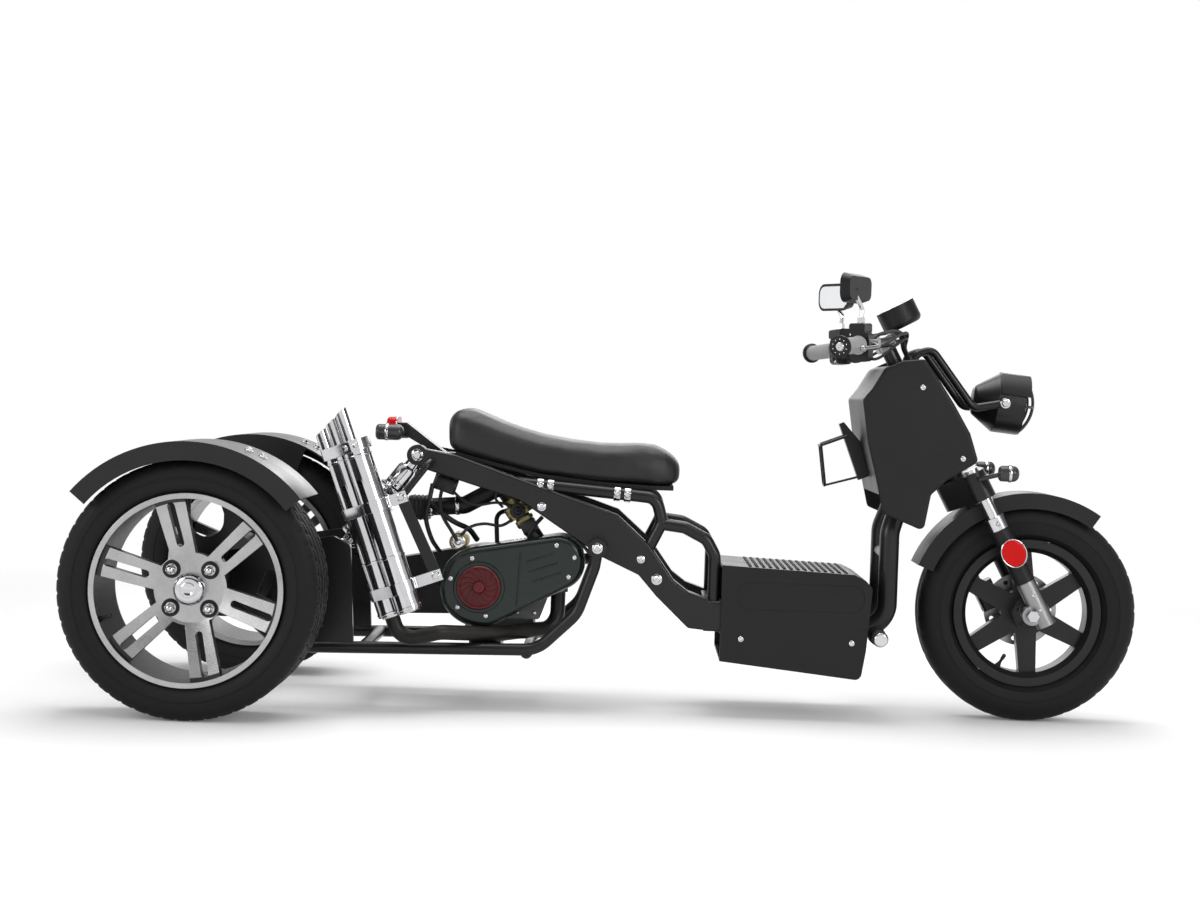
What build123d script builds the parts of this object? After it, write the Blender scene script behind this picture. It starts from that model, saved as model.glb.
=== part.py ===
"""Three-wheeled scooter: one raked front wheel, two wide rear wheels, open engine."""
import os
from math import cos, radians, sin

from build123d import *

os.makedirs("parts", exist_ok=True)

# Stance: X forward, Y left, Z up, ground at Z = 0, origin midway along the length
WHEELBASE = 1749.0
FRONT_TYRE_R = 236.0
FRONT_TYRE_W = 120.0
REAR_TYRE_R = 262.0
REAR_TYRE_W = 208.0
REAR_WHEEL_Y = 398.0
LENGTH = WHEELBASE + FRONT_TYRE_R + REAR_TYRE_R
REAR_AXLE_X = REAR_TYRE_R - LENGTH / 2
FRONT_AXLE_X = LENGTH / 2 - FRONT_TYRE_R

# Fits and gaps
RUN_FIT = 0.05
SEAT_GAP = 0.3
PASS_GAP = 0.1


def aft(x, z):
    """A point given from the rear axle, as X and Z."""
    return (REAR_AXLE_X + x, REAR_TYRE_R + z)


def fore(x, z):
    """A point given from the front axle, as X and Z."""
    return (FRONT_AXLE_X + x, FRONT_TYRE_R + z)


def floor_end(x, z):
    """A point given from the floor box's rear end at axle height, as X and Z."""
    return aft(FLOOR_REAR + x, z)


def at_y(point, y):
    """A side-view point placed at a lateral station."""
    return (point[0], y, point[1])


def tube(diameter, bend, *points):
    """Sweep a round bar along straight runs joined by bends."""
    with BuildLine() as route:
        if len(points) == 2:
            Line(*points)
        else:
            FilletPolyline(*points, radius=bend)
    with BuildSketch(Plane(origin=route.line @ 0, z_dir=route.line % 0)) as ring:
        Circle(diameter / 2)
    sweep(sections=ring.sketch, path=route.line)


def keep(piece, name):
    """Label a finished piece and write it."""
    piece.part.label = name
    export_step(piece.part, f"parts/{name}.step")


# Main frame: two deep pressed side rails
RAIL_Y = 135.0
RAIL_W = 40.0
RAIL_OUT = RAIL_Y + RAIL_W / 2
RAIL_EDGE_R = 6.0
RAIL_CORNER_R = 14.0
FLOOR_REAR = 1079.0
CROSS_BEAM_L = 36.0
# side view stations of the rail from the rear axle: x, z
RAIL_UPPER = ((432, 291), (505, 279), (600, 247), (852, 163))
RAIL_LOWER = ((821, 72), (644, 186), (412, 254))
# the rail's knee, from the rear end of the floor box: x, z
KNEE_UPPER = ((-154, 99), (-103, 28), (-72, 5), (-19, -13))
KNEE_LOWER = ((-19, -78), (-69, -74), (-139, -8), (-178, 36))
RAIL_EYE = (421, 276)
RAIL_EYE_R = 22.0
SEAT_TUBE_D = 26.0
SEAT_TUBE_FROM = (540, 232)
# tubes over the knee, from the rear end of the floor box: x, z
SEAT_TUBE = ((-145, 201), (-131, 150), (-159, 92))
STEP_TUBE = ((-135, 146), (-83, 140), (-35, 116), (-16, 82), (-16, -40))
TUBE_BEND = 30.0
# seat side view from the rear axle, upper line then lower line: x, z
SEAT_UPPER = (
    (480, 366), (500, 380), (530, 374), (596, 347), (682, 323), (811, 307), (896, 310), (950, 303), (988, 276),
    (990, 248),
)
SEAT_LOWER = ((970, 226), (921, 226), (813, 231), (685, 244), (600, 262), (500, 286))
PAN_T = 9.0
CROSS_TUBE_D = 30.0
pan_kink = SEAT_LOWER[3]
PAN_TUBE = (pan_kink[0], pan_kink[1] - PAN_T - 2 * SEAT_GAP - CROSS_TUBE_D / 2)
KNEE_TUBE = (FLOOR_REAR - 174, 70)
# cross tubes between the rails, from the rear axle: x, z; the second carries the seat pan
CROSS_TUBES = ((480, 255), PAN_TUBE, KNEE_TUBE)

# Rear cradle that carries engine and axle
CRADLE_Y = 170.0
CRADLE_D = 26.0
CRADLE_Z = -140.0
CRADLE_BEND = 70.0
CRADLE_PIVOT = (812, 92)
CRADLE_BOSS_R = 20.0
CRADLE_BOSS_L = 30.0
CARRIER_T = 14.0
SHOCK_FOOT = (262, 73)
SHOCK_EYE_W = 26.0
SHOCK_PIN_R = 14.0
SHOCK_Y = RAIL_Y - RAIL_W / 2 - SHOCK_EYE_W / 2
ENGINE_FOOT = (572, -97)
ENGINE_FOOT_L = 70.0
ENGINE_FOOT_W = 120.0

# Rear axle
AXLE_TUBE_D = 70.0
AXLE_END_Y = 278.0
AXLE_SHAFT_D = 30.0
DIFF_R = 92.0
DIFF_W = 120.0

with BuildPart() as frame_rails:
    with BuildSketch(Plane.XZ.offset(RAIL_Y - RAIL_W / 2)) as rail_side:
        with BuildLine():
            Polyline(
                *[aft(*p) for p in RAIL_UPPER],
                *[floor_end(*p) for p in KNEE_UPPER + KNEE_LOWER],
                *[aft(*p) for p in RAIL_LOWER],
                close=True,
            )
        make_face()
        fillet(rail_side.vertices(), RAIL_CORNER_R)
    extrude(amount=RAIL_W)
    fillet(frame_rails.faces().sort_by(Axis.Y)[0].edges(), RAIL_EDGE_R)
    with BuildSketch(Plane.XZ.offset(RAIL_Y - RAIL_W / 2)):
        with Locations(aft(*RAIL_EYE)):
            Circle(RAIL_EYE_R)
    extrude(amount=RAIL_W)
    seat_tube_from = at_y(aft(*SEAT_TUBE_FROM), -RAIL_Y)
    tube(SEAT_TUBE_D, TUBE_BEND, seat_tube_from, *[at_y(floor_end(*p), -RAIL_Y) for p in SEAT_TUBE])
    tube(SEAT_TUBE_D, TUBE_BEND, *[at_y(floor_end(*p), -RAIL_Y) for p in STEP_TUBE])
    mirror(about=Plane.XZ)
    for cross_x, cross_z in CROSS_TUBES:
        tube(CROSS_TUBE_D, 0, at_y(aft(cross_x, cross_z), -RAIL_Y), at_y(aft(cross_x, cross_z), RAIL_Y))
    with BuildSketch(Plane.YZ.offset(aft(FLOOR_REAR, 0)[0])) as beam_face:
        with Locations((0, REAR_TYRE_R - 46)):
            RectangleRounded(2 * RAIL_OUT, 66, 8)
    extrude(amount=-CROSS_BEAM_L)
keep(frame_rails, "frame_rails")

# Steering geometry
RAKE = 28.0
AXIS_U = -16.0
LEG_U = 20.0
LEG_Y = 92.0
FORK = Plane(
    origin=(FRONT_AXLE_X, 0, FRONT_TYRE_R),
    x_dir=(cos(radians(RAKE)), 0, sin(radians(RAKE))),
    z_dir=(-sin(radians(RAKE)), 0, cos(radians(RAKE))),
)


def on_fork(u, y, w):
    """A point given across, beside and along the raked fork."""
    return tuple(FORK.from_local_coords((u, y, w)))


GUARD_GAP = 26.0
GUARD_R = FRONT_TYRE_R + GUARD_GAP
YOKE_LOW = GUARD_R + 8
YOKE_L = 62.0
HEAD_LOW = YOKE_LOW + YOKE_L
HEAD_TOP = HEAD_LOW + 208
HEAD_D = 52.0
STEERER_D = 34.0


def head(x, z):
    """A point given from the low end of the steering head, as X and Z."""
    low_end = on_fork(AXIS_U, 0, HEAD_LOW)
    return (low_end[0] + x, low_end[2] + z)


DOWN_D = 42.0
DOWN_Y = 90.0
DOWN_X = -310.0
DOWN_BEND = 55.0
FLOOR_TUBE_Z = -66.0
SHIELD_HALF_W = 172.0
SHIELD_WALL = 4.0
SHIELD_BAR_D = 24.0
PEG_AT = (-331, -81)
PEG_D = 30.0
PEG_LUG_Y = DOWN_Y + DOWN_D / 2 + 1
peg_point = (fore(PEG_AT[0], 0)[0], aft(0, PEG_AT[1])[1])

with BuildPart() as front_frame:
    with BuildSketch(FORK.offset(HEAD_LOW)):
        with Locations((AXIS_U, 0)):
            Circle(HEAD_D / 2)
    extrude(amount=HEAD_TOP - HEAD_LOW)
    down_top = on_fork(AXIS_U - 10, -6, HEAD_LOW + 60)
    tube(
        DOWN_D,
        DOWN_BEND,
        down_top,
        at_y(head(-106, -16), -62),
        at_y(fore(DOWN_X, 170), -DOWN_Y),
        at_y((fore(DOWN_X, 0)[0], aft(0, FLOOR_TUBE_Z)[1]), -DOWN_Y),
        at_y(aft(FLOOR_REAR, FLOOR_TUBE_Z), -DOWN_Y),
    )
    with BuildSketch(Plane.XZ.offset(DOWN_Y - 8)):
        with Locations(peg_point):
            Circle(PEG_D / 2 + 4)
    extrude(amount=PEG_LUG_Y - DOWN_Y + 8)
    mirror(about=Plane.XZ)
    tube(CROSS_TUBE_D, 0, at_y(fore(DOWN_X, 120), -DOWN_Y), at_y(fore(DOWN_X, 120), DOWN_Y))
    shield_bar = on_fork(AXIS_U - HEAD_D / 2, 0, HEAD_LOW + 70)
    shield_reach = SHIELD_HALF_W - SHIELD_WALL
    tube(
        SHIELD_BAR_D, 0,
        (shield_bar[0], -shield_reach, shield_bar[2]),
        (shield_bar[0], shield_reach, shield_bar[2]),
    )
    with BuildSketch(FORK.offset(HEAD_LOW)):
        with Locations((AXIS_U, 0)):
            Circle(STEERER_D / 2 + RUN_FIT)
    extrude(amount=HEAD_TOP - HEAD_LOW, mode=Mode.SUBTRACT)
keep(front_frame, "front_frame")

with BuildPart() as engine_cradle:
    tube(
        CRADLE_D,
        CRADLE_BEND,
        at_y(aft(30, -40), -CRADLE_Y),
        at_y(aft(150, CRADLE_Z), -CRADLE_Y),
        at_y(aft(690, CRADLE_Z + 11), -CRADLE_Y),
        at_y(aft(772, CRADLE_Z + 90), -CRADLE_Y),
        at_y(aft(CRADLE_PIVOT[0] - 6, CRADLE_PIVOT[1] - 42), -CRADLE_Y),
        at_y(aft(*CRADLE_PIVOT), -CRADLE_Y),
    )
    with BuildSketch(Plane.XZ.offset(RAIL_OUT)):
        with Locations(aft(*CRADLE_PIVOT)):
            Circle(CRADLE_BOSS_R)
    extrude(amount=CRADLE_BOSS_L)
    with BuildSketch(Plane.XZ.offset(CRADLE_Y - CARRIER_T / 2)) as carrier:
        with BuildLine():
            Polyline(
                aft(-56, 40), aft(-56, -30), aft(40, -66), aft(240, CRADLE_Z), aft(300, CRADLE_Z),
                aft(SHOCK_FOOT[0] + 26, SHOCK_FOOT[1] + 6), aft(SHOCK_FOOT[0] - 10, SHOCK_FOOT[1] + 26),
                aft(30, 62),
                close=True,
            )
        make_face()
        fillet(carrier.vertices(), 18)
        with BuildLine():
            Polyline(aft(90, -30), aft(236, -96), aft(244, 10), aft(110, 20), close=True)
        make_face(mode=Mode.SUBTRACT)
        with Locations(aft(0, 0)):
            Circle(AXLE_TUBE_D / 2 + PASS_GAP, mode=Mode.SUBTRACT)
    extrude(amount=CARRIER_T)
    with BuildSketch(Plane.XZ.offset(SHOCK_Y + SHOCK_EYE_W / 2)):
        with Locations(aft(*SHOCK_FOOT)):
            Circle(SHOCK_PIN_R)
    extrude(amount=CRADLE_Y - SHOCK_Y - SHOCK_EYE_W / 2)
    mirror(about=Plane.XZ)
    for cross_x in (320, 668):
        cross_point = aft(cross_x, CRADLE_Z + 4)
        tube(CRADLE_D, 0, at_y(cross_point, -CRADLE_Y), at_y(cross_point, CRADLE_Y))
    with BuildSketch(Plane.XY.offset(aft(0, CRADLE_Z)[1])):
        with Locations((aft(ENGINE_FOOT[0], 0)[0], 0)):
            RectangleRounded(ENGINE_FOOT_L, 2 * CRADLE_Y, 6)
    extrude(amount=8)
    with BuildSketch(Plane.XY.offset(aft(0, CRADLE_Z)[1])):
        with Locations((aft(ENGINE_FOOT[0], 0)[0], 0)):
            RectangleRounded(ENGINE_FOOT_L, ENGINE_FOOT_W, 10)
    extrude(amount=ENGINE_FOOT[1] - CRADLE_Z)
keep(engine_cradle, "engine_cradle")

# Line of the rear axle, radial direction up
AXLE_LINE = Axis((REAR_AXLE_X, 0, REAR_TYRE_R), (0, 1, 0))
AXLE_SECTION = Plane(origin=(REAR_AXLE_X, 0, REAR_TYRE_R), x_dir=(0, 1, 0), z_dir=(1, 0, 0))

with BuildPart() as axle_housing:
    with BuildSketch(AXLE_SECTION) as housing_half:
        with BuildLine():
            Polyline(
                (-AXLE_END_Y, 0), (-AXLE_END_Y, AXLE_TUBE_D / 2 + 12), (-AXLE_END_Y + 10, AXLE_TUBE_D / 2 + 12),
                (-AXLE_END_Y + 10, AXLE_TUBE_D / 2), (-DIFF_W / 2 - 40, AXLE_TUBE_D / 2), (-DIFF_W / 2, DIFF_R),
                (DIFF_W / 2, DIFF_R), (DIFF_W / 2 + 40, AXLE_TUBE_D / 2), (AXLE_END_Y - 10, AXLE_TUBE_D / 2),
                (AXLE_END_Y - 10, AXLE_TUBE_D / 2 + 12), (AXLE_END_Y, AXLE_TUBE_D / 2 + 12), (AXLE_END_Y, 0),
                close=True,
            )
        make_face()
    revolve(axis=AXLE_LINE)
    with BuildSketch(Plane.XZ.offset(-AXLE_END_Y)):
        with Locations(aft(0, 0)):
            Circle(AXLE_SHAFT_D / 2 + RUN_FIT)
    extrude(amount=2 * AXLE_END_Y, mode=Mode.SUBTRACT)
keep(axle_housing, "axle_housing")

# Rear shocks: eyes, silver top body, coil turns and lower damper
SHOCK_EYE_R = 17.0
SHOCK_TOP = RAIL_EYE
COIL_R = 25.0
COIL_PITCH = 16.0
COIL_WIRE = 8.0
SHOCK_CAP_R = 26.0
SHOCK_BODY_R = 21.0
SHOCK_ROD_R = 12.0
SHOCK_NECK = 36.0
shock_low = Vector(*at_y(aft(*SHOCK_FOOT), -SHOCK_Y))
shock_high = Vector(*at_y(aft(*SHOCK_TOP), -SHOCK_Y))
SHOCK_L = (shock_high - shock_low).length
SHOCK = Plane(origin=shock_low, x_dir=(0, 1, 0), z_dir=shock_high - shock_low)
COIL_FROM = 46.0
COIL_TO = SHOCK_L - 98.0

with BuildPart() as rear_shocks:
    for eye in (SHOCK_FOOT, SHOCK_TOP):
        with BuildSketch(Plane.XZ.offset(SHOCK_Y - SHOCK_EYE_W / 2)):
            with Locations(aft(*eye)):
                Circle(SHOCK_EYE_R)
        extrude(amount=SHOCK_EYE_W)
    turns = int((COIL_TO - COIL_FROM) / COIL_PITCH)
    with BuildSketch(Plane(origin=shock_low, x_dir=SHOCK.z_dir, z_dir=(0, 1, 0))) as shock_half:
        Rectangle(SHOCK_L, SHOCK_ROD_R, align=(Align.MIN, Align.MIN))
        with Locations((28, 0)):
            Rectangle(COIL_FROM - 28, SHOCK_CAP_R, align=(Align.MIN, Align.MIN))
        with Locations((COIL_TO, 0)):
            Rectangle(10, SHOCK_CAP_R + 2, align=(Align.MIN, Align.MIN))
        with Locations((COIL_TO + 10, 0)):
            Rectangle(SHOCK_L - COIL_TO - 10 - SHOCK_NECK, SHOCK_BODY_R, align=(Align.MIN, Align.MIN))
        for turn in range(turns + 1):
            with Locations((COIL_FROM + (turn + 0.5) * (COIL_TO - COIL_FROM) / (turns + 1), 12)):
                Rectangle(COIL_WIRE, COIL_R - 12, align=(Align.CENTER, Align.MIN))
    revolve(axis=Axis(shock_low, SHOCK.z_dir))
    mirror(about=Plane.XZ)
keep(rear_shocks, "rear_shocks")

# Rear wheels: wide tyre, deep barrel, six twin-bar spokes, hub with nuts and cap
REAR_WALL_H = 67.0
RIM_LIP_R = REAR_TYRE_R - REAR_WALL_H
RIM_BARREL_R = RIM_LIP_R - 11
RIM_WALL = 6.0
RIM_HALF_W = 98.0
TYRE_BEAD_R = RIM_LIP_R - 4
TYRE_SHOULDER_R = 26.0
SPOKES = 6
SPOKE_ANGLE = -17.0
SPOKE_W_HUB = 46.0
SPOKE_W_RIM = 62.0
SPOKE_SLOT_W = 15.0
SPOKE_SLOT_IN = 87.0
SPOKE_SLOT_OUT = RIM_BARREL_R - 6
HUB_PAD_R = 74.0
HUB_RECESS = 52.0
SPOKE_RECESS = 20.0
SPOKE_T = 26.0
LUG_PCD = 110.0
LUG_COUNT = 4
LUG_R = 11.0
LUG_L = 16.0
CAP_R = 33.0
CAP_L = 26.0
HUB_FLANGE_R = 70.0
HUB_FLANGE_T = 12.0
HUB_BORE_R = 30.0
WHEEL_RIGHT = Plane(origin=(REAR_AXLE_X, -REAR_WHEEL_Y, REAR_TYRE_R), x_dir=(0, -1, 0), z_dir=(-1, 0, 0))
FACE_RIGHT = Plane(origin=(REAR_AXLE_X, -REAR_WHEEL_Y, REAR_TYRE_R), x_dir=(1, 0, 0), z_dir=(0, -1, 0))
hub_face = RIM_HALF_W - HUB_RECESS
hub_back = hub_face - SPOKE_T

with BuildPart() as rear_tyre_right:
    with BuildSketch(WHEEL_RIGHT) as tyre_half:
        with BuildLine():
            Polyline(
                (-RIM_HALF_W + 8, TYRE_BEAD_R + 4 + SEAT_GAP), (-REAR_TYRE_W / 2, TYRE_BEAD_R + 24),
                (-REAR_TYRE_W / 2, REAR_TYRE_R), (REAR_TYRE_W / 2, REAR_TYRE_R),
                (REAR_TYRE_W / 2, TYRE_BEAD_R + 24), (RIM_HALF_W - 8, TYRE_BEAD_R + 4 + SEAT_GAP),
                close=True,
            )
        make_face()
        fillet(tyre_half.vertices().group_by(Axis.Y)[-1], TYRE_SHOULDER_R)
    revolve(axis=AXLE_LINE)
keep(rear_tyre_right, "rear_tyre_right")

with BuildPart() as rear_rim_right:
    with BuildSketch(FACE_RIGHT.offset(hub_back - 20)) as star:
        Circle(HUB_PAD_R)
        with PolarLocations(0, SPOKES, start_angle=SPOKE_ANGLE):
            Polygon(
                (30, -SPOKE_W_HUB / 2), (RIM_BARREL_R + 3, -SPOKE_W_RIM / 2),
                (RIM_BARREL_R + 3, SPOKE_W_RIM / 2), (30, SPOKE_W_HUB / 2), align=None,
            )
        with PolarLocations(0, SPOKES, start_angle=SPOKE_ANGLE):
            with Locations(((SPOKE_SLOT_IN + SPOKE_SLOT_OUT) / 2, 0)):
                SlotOverall(SPOKE_SLOT_OUT - SPOKE_SLOT_IN, SPOKE_SLOT_W, mode=Mode.SUBTRACT)
    extrude(amount=HUB_RECESS + SPOKE_T + 20)
    with BuildSketch(WHEEL_RIGHT) as dish:
        with BuildLine():
            Polyline(
                (hub_back, 0), (hub_back, HUB_PAD_R - 12), (RIM_HALF_W - SPOKE_RECESS - SPOKE_T, RIM_BARREL_R + 3),
                (RIM_HALF_W - SPOKE_RECESS, RIM_BARREL_R + 3), (hub_face, HUB_PAD_R - 6), (hub_face, 0),
                close=True,
            )
        make_face()
    revolve(axis=AXLE_LINE, mode=Mode.INTERSECT)
    with BuildSketch(WHEEL_RIGHT) as barrel:
        with BuildLine():
            Polyline(
                (-RIM_HALF_W, RIM_BARREL_R), (-RIM_HALF_W, RIM_LIP_R), (-RIM_HALF_W + 7, RIM_LIP_R),
                (-RIM_HALF_W + 7, RIM_BARREL_R + RIM_WALL), (RIM_HALF_W - 7, RIM_BARREL_R + RIM_WALL),
                (RIM_HALF_W - 7, RIM_LIP_R), (RIM_HALF_W, RIM_LIP_R), (RIM_HALF_W, RIM_BARREL_R),
                close=True,
            )
        make_face()
    revolve(axis=AXLE_LINE)
    with BuildSketch(FACE_RIGHT.offset(hub_back)):
        Circle(HUB_BORE_R)
    extrude(amount=SPOKE_T, mode=Mode.SUBTRACT)
    with BuildSketch(FACE_RIGHT.offset(hub_back)):
        with PolarLocations(LUG_PCD / 2, LUG_COUNT, start_angle=45):
            Circle(LUG_R)
    extrude(amount=SPOKE_T, mode=Mode.SUBTRACT)
keep(rear_rim_right, "rear_rim_right")

with BuildPart() as rear_hub_right:
    with BuildSketch(FACE_RIGHT.offset(hub_back - HUB_FLANGE_T)):
        Circle(HUB_FLANGE_R)
    extrude(amount=HUB_FLANGE_T)
    with BuildSketch(FACE_RIGHT.offset(hub_back)):
        Circle(HUB_BORE_R - PASS_GAP)
        with PolarLocations(LUG_PCD / 2, LUG_COUNT, start_angle=45):
            Circle(LUG_R - PASS_GAP)
    extrude(amount=SPOKE_T + 2)
    with BuildSketch(FACE_RIGHT.offset(hub_face + SEAT_GAP)):
        Circle(CAP_R)
    extrude(amount=CAP_L)
    fillet(rear_hub_right.faces().sort_by(Axis.Y)[0].edges(), 14)
    with BuildSketch(FACE_RIGHT.offset(hub_face + 2)):
        with PolarLocations(LUG_PCD / 2, LUG_COUNT, start_angle=45):
            RegularPolygon(LUG_R - 1, 6)
    extrude(amount=LUG_L)
    with BuildSketch(FACE_RIGHT.offset(hub_back - HUB_FLANGE_T)):
        Circle(AXLE_SHAFT_D / 2)
    extrude(amount=-(REAR_WHEEL_Y + hub_back - HUB_FLANGE_T - AXLE_END_Y + 90))
keep(rear_hub_right, "rear_hub_right")

with BuildPart() as rear_tyre_left:
    mirror(rear_tyre_right.part, about=Plane.XZ)
keep(rear_tyre_left, "rear_tyre_left")

with BuildPart() as rear_rim_left:
    mirror(rear_rim_right.part, about=Plane.XZ)
keep(rear_rim_left, "rear_rim_left")

with BuildPart() as rear_hub_left:
    mirror(rear_hub_right.part, about=Plane.XZ)
keep(rear_hub_left, "rear_hub_left")

# Rear fenders: rolled top, outer skirt, inner stay plate on the axle's end
FENDER_GAP = 37.0
FENDER_R = REAR_TYRE_R + FENDER_GAP
FENDER_T = 4.0
FENDER_OUT_Y = 530.0
FENDER_IN_Y = AXLE_END_Y + 6
FENDER_SKIRT = 38.0
FENDER_FROM = 40.0
FENDER_TO = 140.0
STAY_HALF_ANGLE = 24.0
STAY_HUB_R = 47.0

with BuildPart() as rear_fenders:
    with BuildSketch(Plane.XZ.offset(AXLE_END_Y)) as fender_side:
        with Locations(aft(0, 0)):
            Circle(FENDER_R)
            Circle(FENDER_R - FENDER_T, mode=Mode.SUBTRACT)
        with BuildLine():
            Polyline(
                aft(0, 0), aft(600 * cos(radians(FENDER_FROM)), 600 * sin(radians(FENDER_FROM))), aft(0, 900),
                aft(600 * cos(radians(FENDER_TO)), 600 * sin(radians(FENDER_TO))), close=True,
            )
        make_face(mode=Mode.INTERSECT)
    extrude(amount=FENDER_OUT_Y - AXLE_END_Y)
    with BuildSketch(Plane.XZ.offset(FENDER_OUT_Y - FENDER_T)) as skirt_side:
        with Locations(aft(0, 0)):
            Circle(FENDER_R - 1)
            Circle(FENDER_R - FENDER_SKIRT, mode=Mode.SUBTRACT)
        with BuildLine():
            Polyline(
                aft(0, 0), aft(600 * cos(radians(FENDER_FROM)), 600 * sin(radians(FENDER_FROM))), aft(0, 900),
                aft(600 * cos(radians(FENDER_TO)), 600 * sin(radians(FENDER_TO))), close=True,
            )
        make_face(mode=Mode.INTERSECT)
    extrude(amount=FENDER_T)
    with BuildSketch(Plane.XZ.offset(AXLE_END_Y)) as stay_side:
        with Locations(aft(0, 0)):
            Circle(FENDER_R - 1)
        with BuildLine():
            Polyline(
                aft(0, -60), aft(600 * sin(radians(STAY_HALF_ANGLE)), 600),
                aft(-600 * sin(radians(STAY_HALF_ANGLE)), 600),
                close=True,
            )
        make_face(mode=Mode.INTERSECT)
        with Locations(aft(0, 0)):
            Circle(STAY_HUB_R)
            Circle(AXLE_SHAFT_D / 2 + 4, mode=Mode.SUBTRACT)
        with Locations(aft(0, 170)):
            SlotOverall(150, 70, rotation=90, mode=Mode.SUBTRACT)
    extrude(amount=FENDER_IN_Y - AXLE_END_Y)
    mirror(about=Plane.XZ)
keep(rear_fenders, "rear_fenders")

# Front wheel
FRONT_LINE = Axis((FRONT_AXLE_X, 0, FRONT_TYRE_R), (0, 1, 0))
FRONT_SECTION = Plane(origin=(FRONT_AXLE_X, 0, FRONT_TYRE_R), x_dir=(0, 1, 0), z_dir=(1, 0, 0))
FRONT_FACE = Plane(origin=(FRONT_AXLE_X, 0, FRONT_TYRE_R), x_dir=(1, 0, 0), z_dir=(0, -1, 0))
FRONT_WALL_H = 76.0
FRONT_SHOULDER_R = 36.0
FRONT_LIP_R = FRONT_TYRE_R - FRONT_WALL_H
FRONT_BARREL_R = FRONT_LIP_R - 28
FRONT_RIM_W = 84.0
FRONT_SPOKE_W = 36.0
FRONT_SPOKE_ANGLE = -86.0
FRONT_SPOKE_T = 30.0
FRONT_HUB_R = 34.0
FRONT_HUB_W = 112.0
FRONT_AXLE_D = 15.0
DISC_R = 80.0
DISC_T = 4.0
DISC_IN_R = 46.0
DISC_HOLES = 18
DISC_HOLE_R = 5.0

with BuildPart() as front_tyre:
    with BuildSketch(FRONT_SECTION) as front_tyre_half:
        with BuildLine():
            Polyline(
                (-FRONT_RIM_W / 2 + 6, FRONT_LIP_R + SEAT_GAP), (-FRONT_TYRE_W / 2, FRONT_LIP_R + 28),
                (-FRONT_TYRE_W / 2, FRONT_TYRE_R), (FRONT_TYRE_W / 2, FRONT_TYRE_R),
                (FRONT_TYRE_W / 2, FRONT_LIP_R + 28), (FRONT_RIM_W / 2 - 6, FRONT_LIP_R + SEAT_GAP),
                close=True,
            )
        make_face()
        fillet(front_tyre_half.vertices().group_by(Axis.Y)[-1], FRONT_SHOULDER_R)
    revolve(axis=FRONT_LINE)
keep(front_tyre, "front_tyre")

with BuildPart() as front_rim:
    with BuildSketch(FRONT_FACE.offset(-FRONT_SPOKE_T / 2)):
        with PolarLocations(0, 6, start_angle=FRONT_SPOKE_ANGLE):
            Polygon(
                (20, -FRONT_SPOKE_W / 2 - 6), (FRONT_BARREL_R + 4, -FRONT_SPOKE_W / 2),
                (FRONT_BARREL_R + 4, FRONT_SPOKE_W / 2), (20, FRONT_SPOKE_W / 2 + 6), align=None,
            )
        Circle(FRONT_HUB_R + 18)
    extrude(amount=FRONT_SPOKE_T)
    with BuildSketch(FRONT_SECTION):
        with BuildLine():
            Polyline(
                (-FRONT_RIM_W / 2, FRONT_BARREL_R + 10), (-FRONT_RIM_W / 2, FRONT_LIP_R),
                (-FRONT_RIM_W / 2 + 6, FRONT_LIP_R), (-FRONT_RIM_W / 2 + 14, FRONT_LIP_R - 12),
                (FRONT_RIM_W / 2 - 14, FRONT_LIP_R - 12), (FRONT_RIM_W / 2 - 6, FRONT_LIP_R),
                (FRONT_RIM_W / 2, FRONT_LIP_R), (FRONT_RIM_W / 2, FRONT_BARREL_R + 10),
                (FRONT_RIM_W / 2 - 14, FRONT_BARREL_R), (-FRONT_RIM_W / 2 + 14, FRONT_BARREL_R), close=True,
            )
        make_face()
    revolve(axis=FRONT_LINE)
    with BuildSketch(FRONT_FACE.offset(-FRONT_HUB_W / 2)):
        Circle(FRONT_HUB_R)
    extrude(amount=FRONT_HUB_W)
    with BuildSketch(FRONT_FACE.offset(-FRONT_HUB_W / 2)):
        Circle(FRONT_AXLE_D / 2 + RUN_FIT)
    extrude(amount=FRONT_HUB_W, mode=Mode.SUBTRACT)
keep(front_rim, "front_rim")

with BuildPart() as brake_disc:
    with BuildSketch(FRONT_FACE.offset(-FRONT_HUB_W / 2 - DISC_T)):
        Circle(DISC_R)
        Circle(FRONT_AXLE_D / 2 + 4, mode=Mode.SUBTRACT)
        with PolarLocations(0, 5, start_angle=18):
            with Locations((44, 0)):
                SlotOverall(24, 20, rotation=90, mode=Mode.SUBTRACT)
        with PolarLocations(DISC_R - 14, DISC_HOLES):
            Circle(DISC_HOLE_R, mode=Mode.SUBTRACT)
    extrude(amount=DISC_T)
keep(brake_disc, "brake_disc")

# Front fork
YOKE_TOP = HEAD_LOW - SEAT_GAP
YOKE_R = 40.0
STANCHION_D = 30.0
COVER_D = 44.0
COLLAR_D = 46.0
COLLAR_LOW = GUARD_R - 65
COLLAR_TOP = COLLAR_LOW + 29
COVER_LOW = 70.0
LEG_END = -34.0
STEM_TOP = HEAD_TOP + 106
AXLE_BOSS_R = 21.0
AXLE_BOSS_W = 30.0
LEGS = ((LEG_U, LEG_Y), (LEG_U, -LEG_Y))

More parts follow.
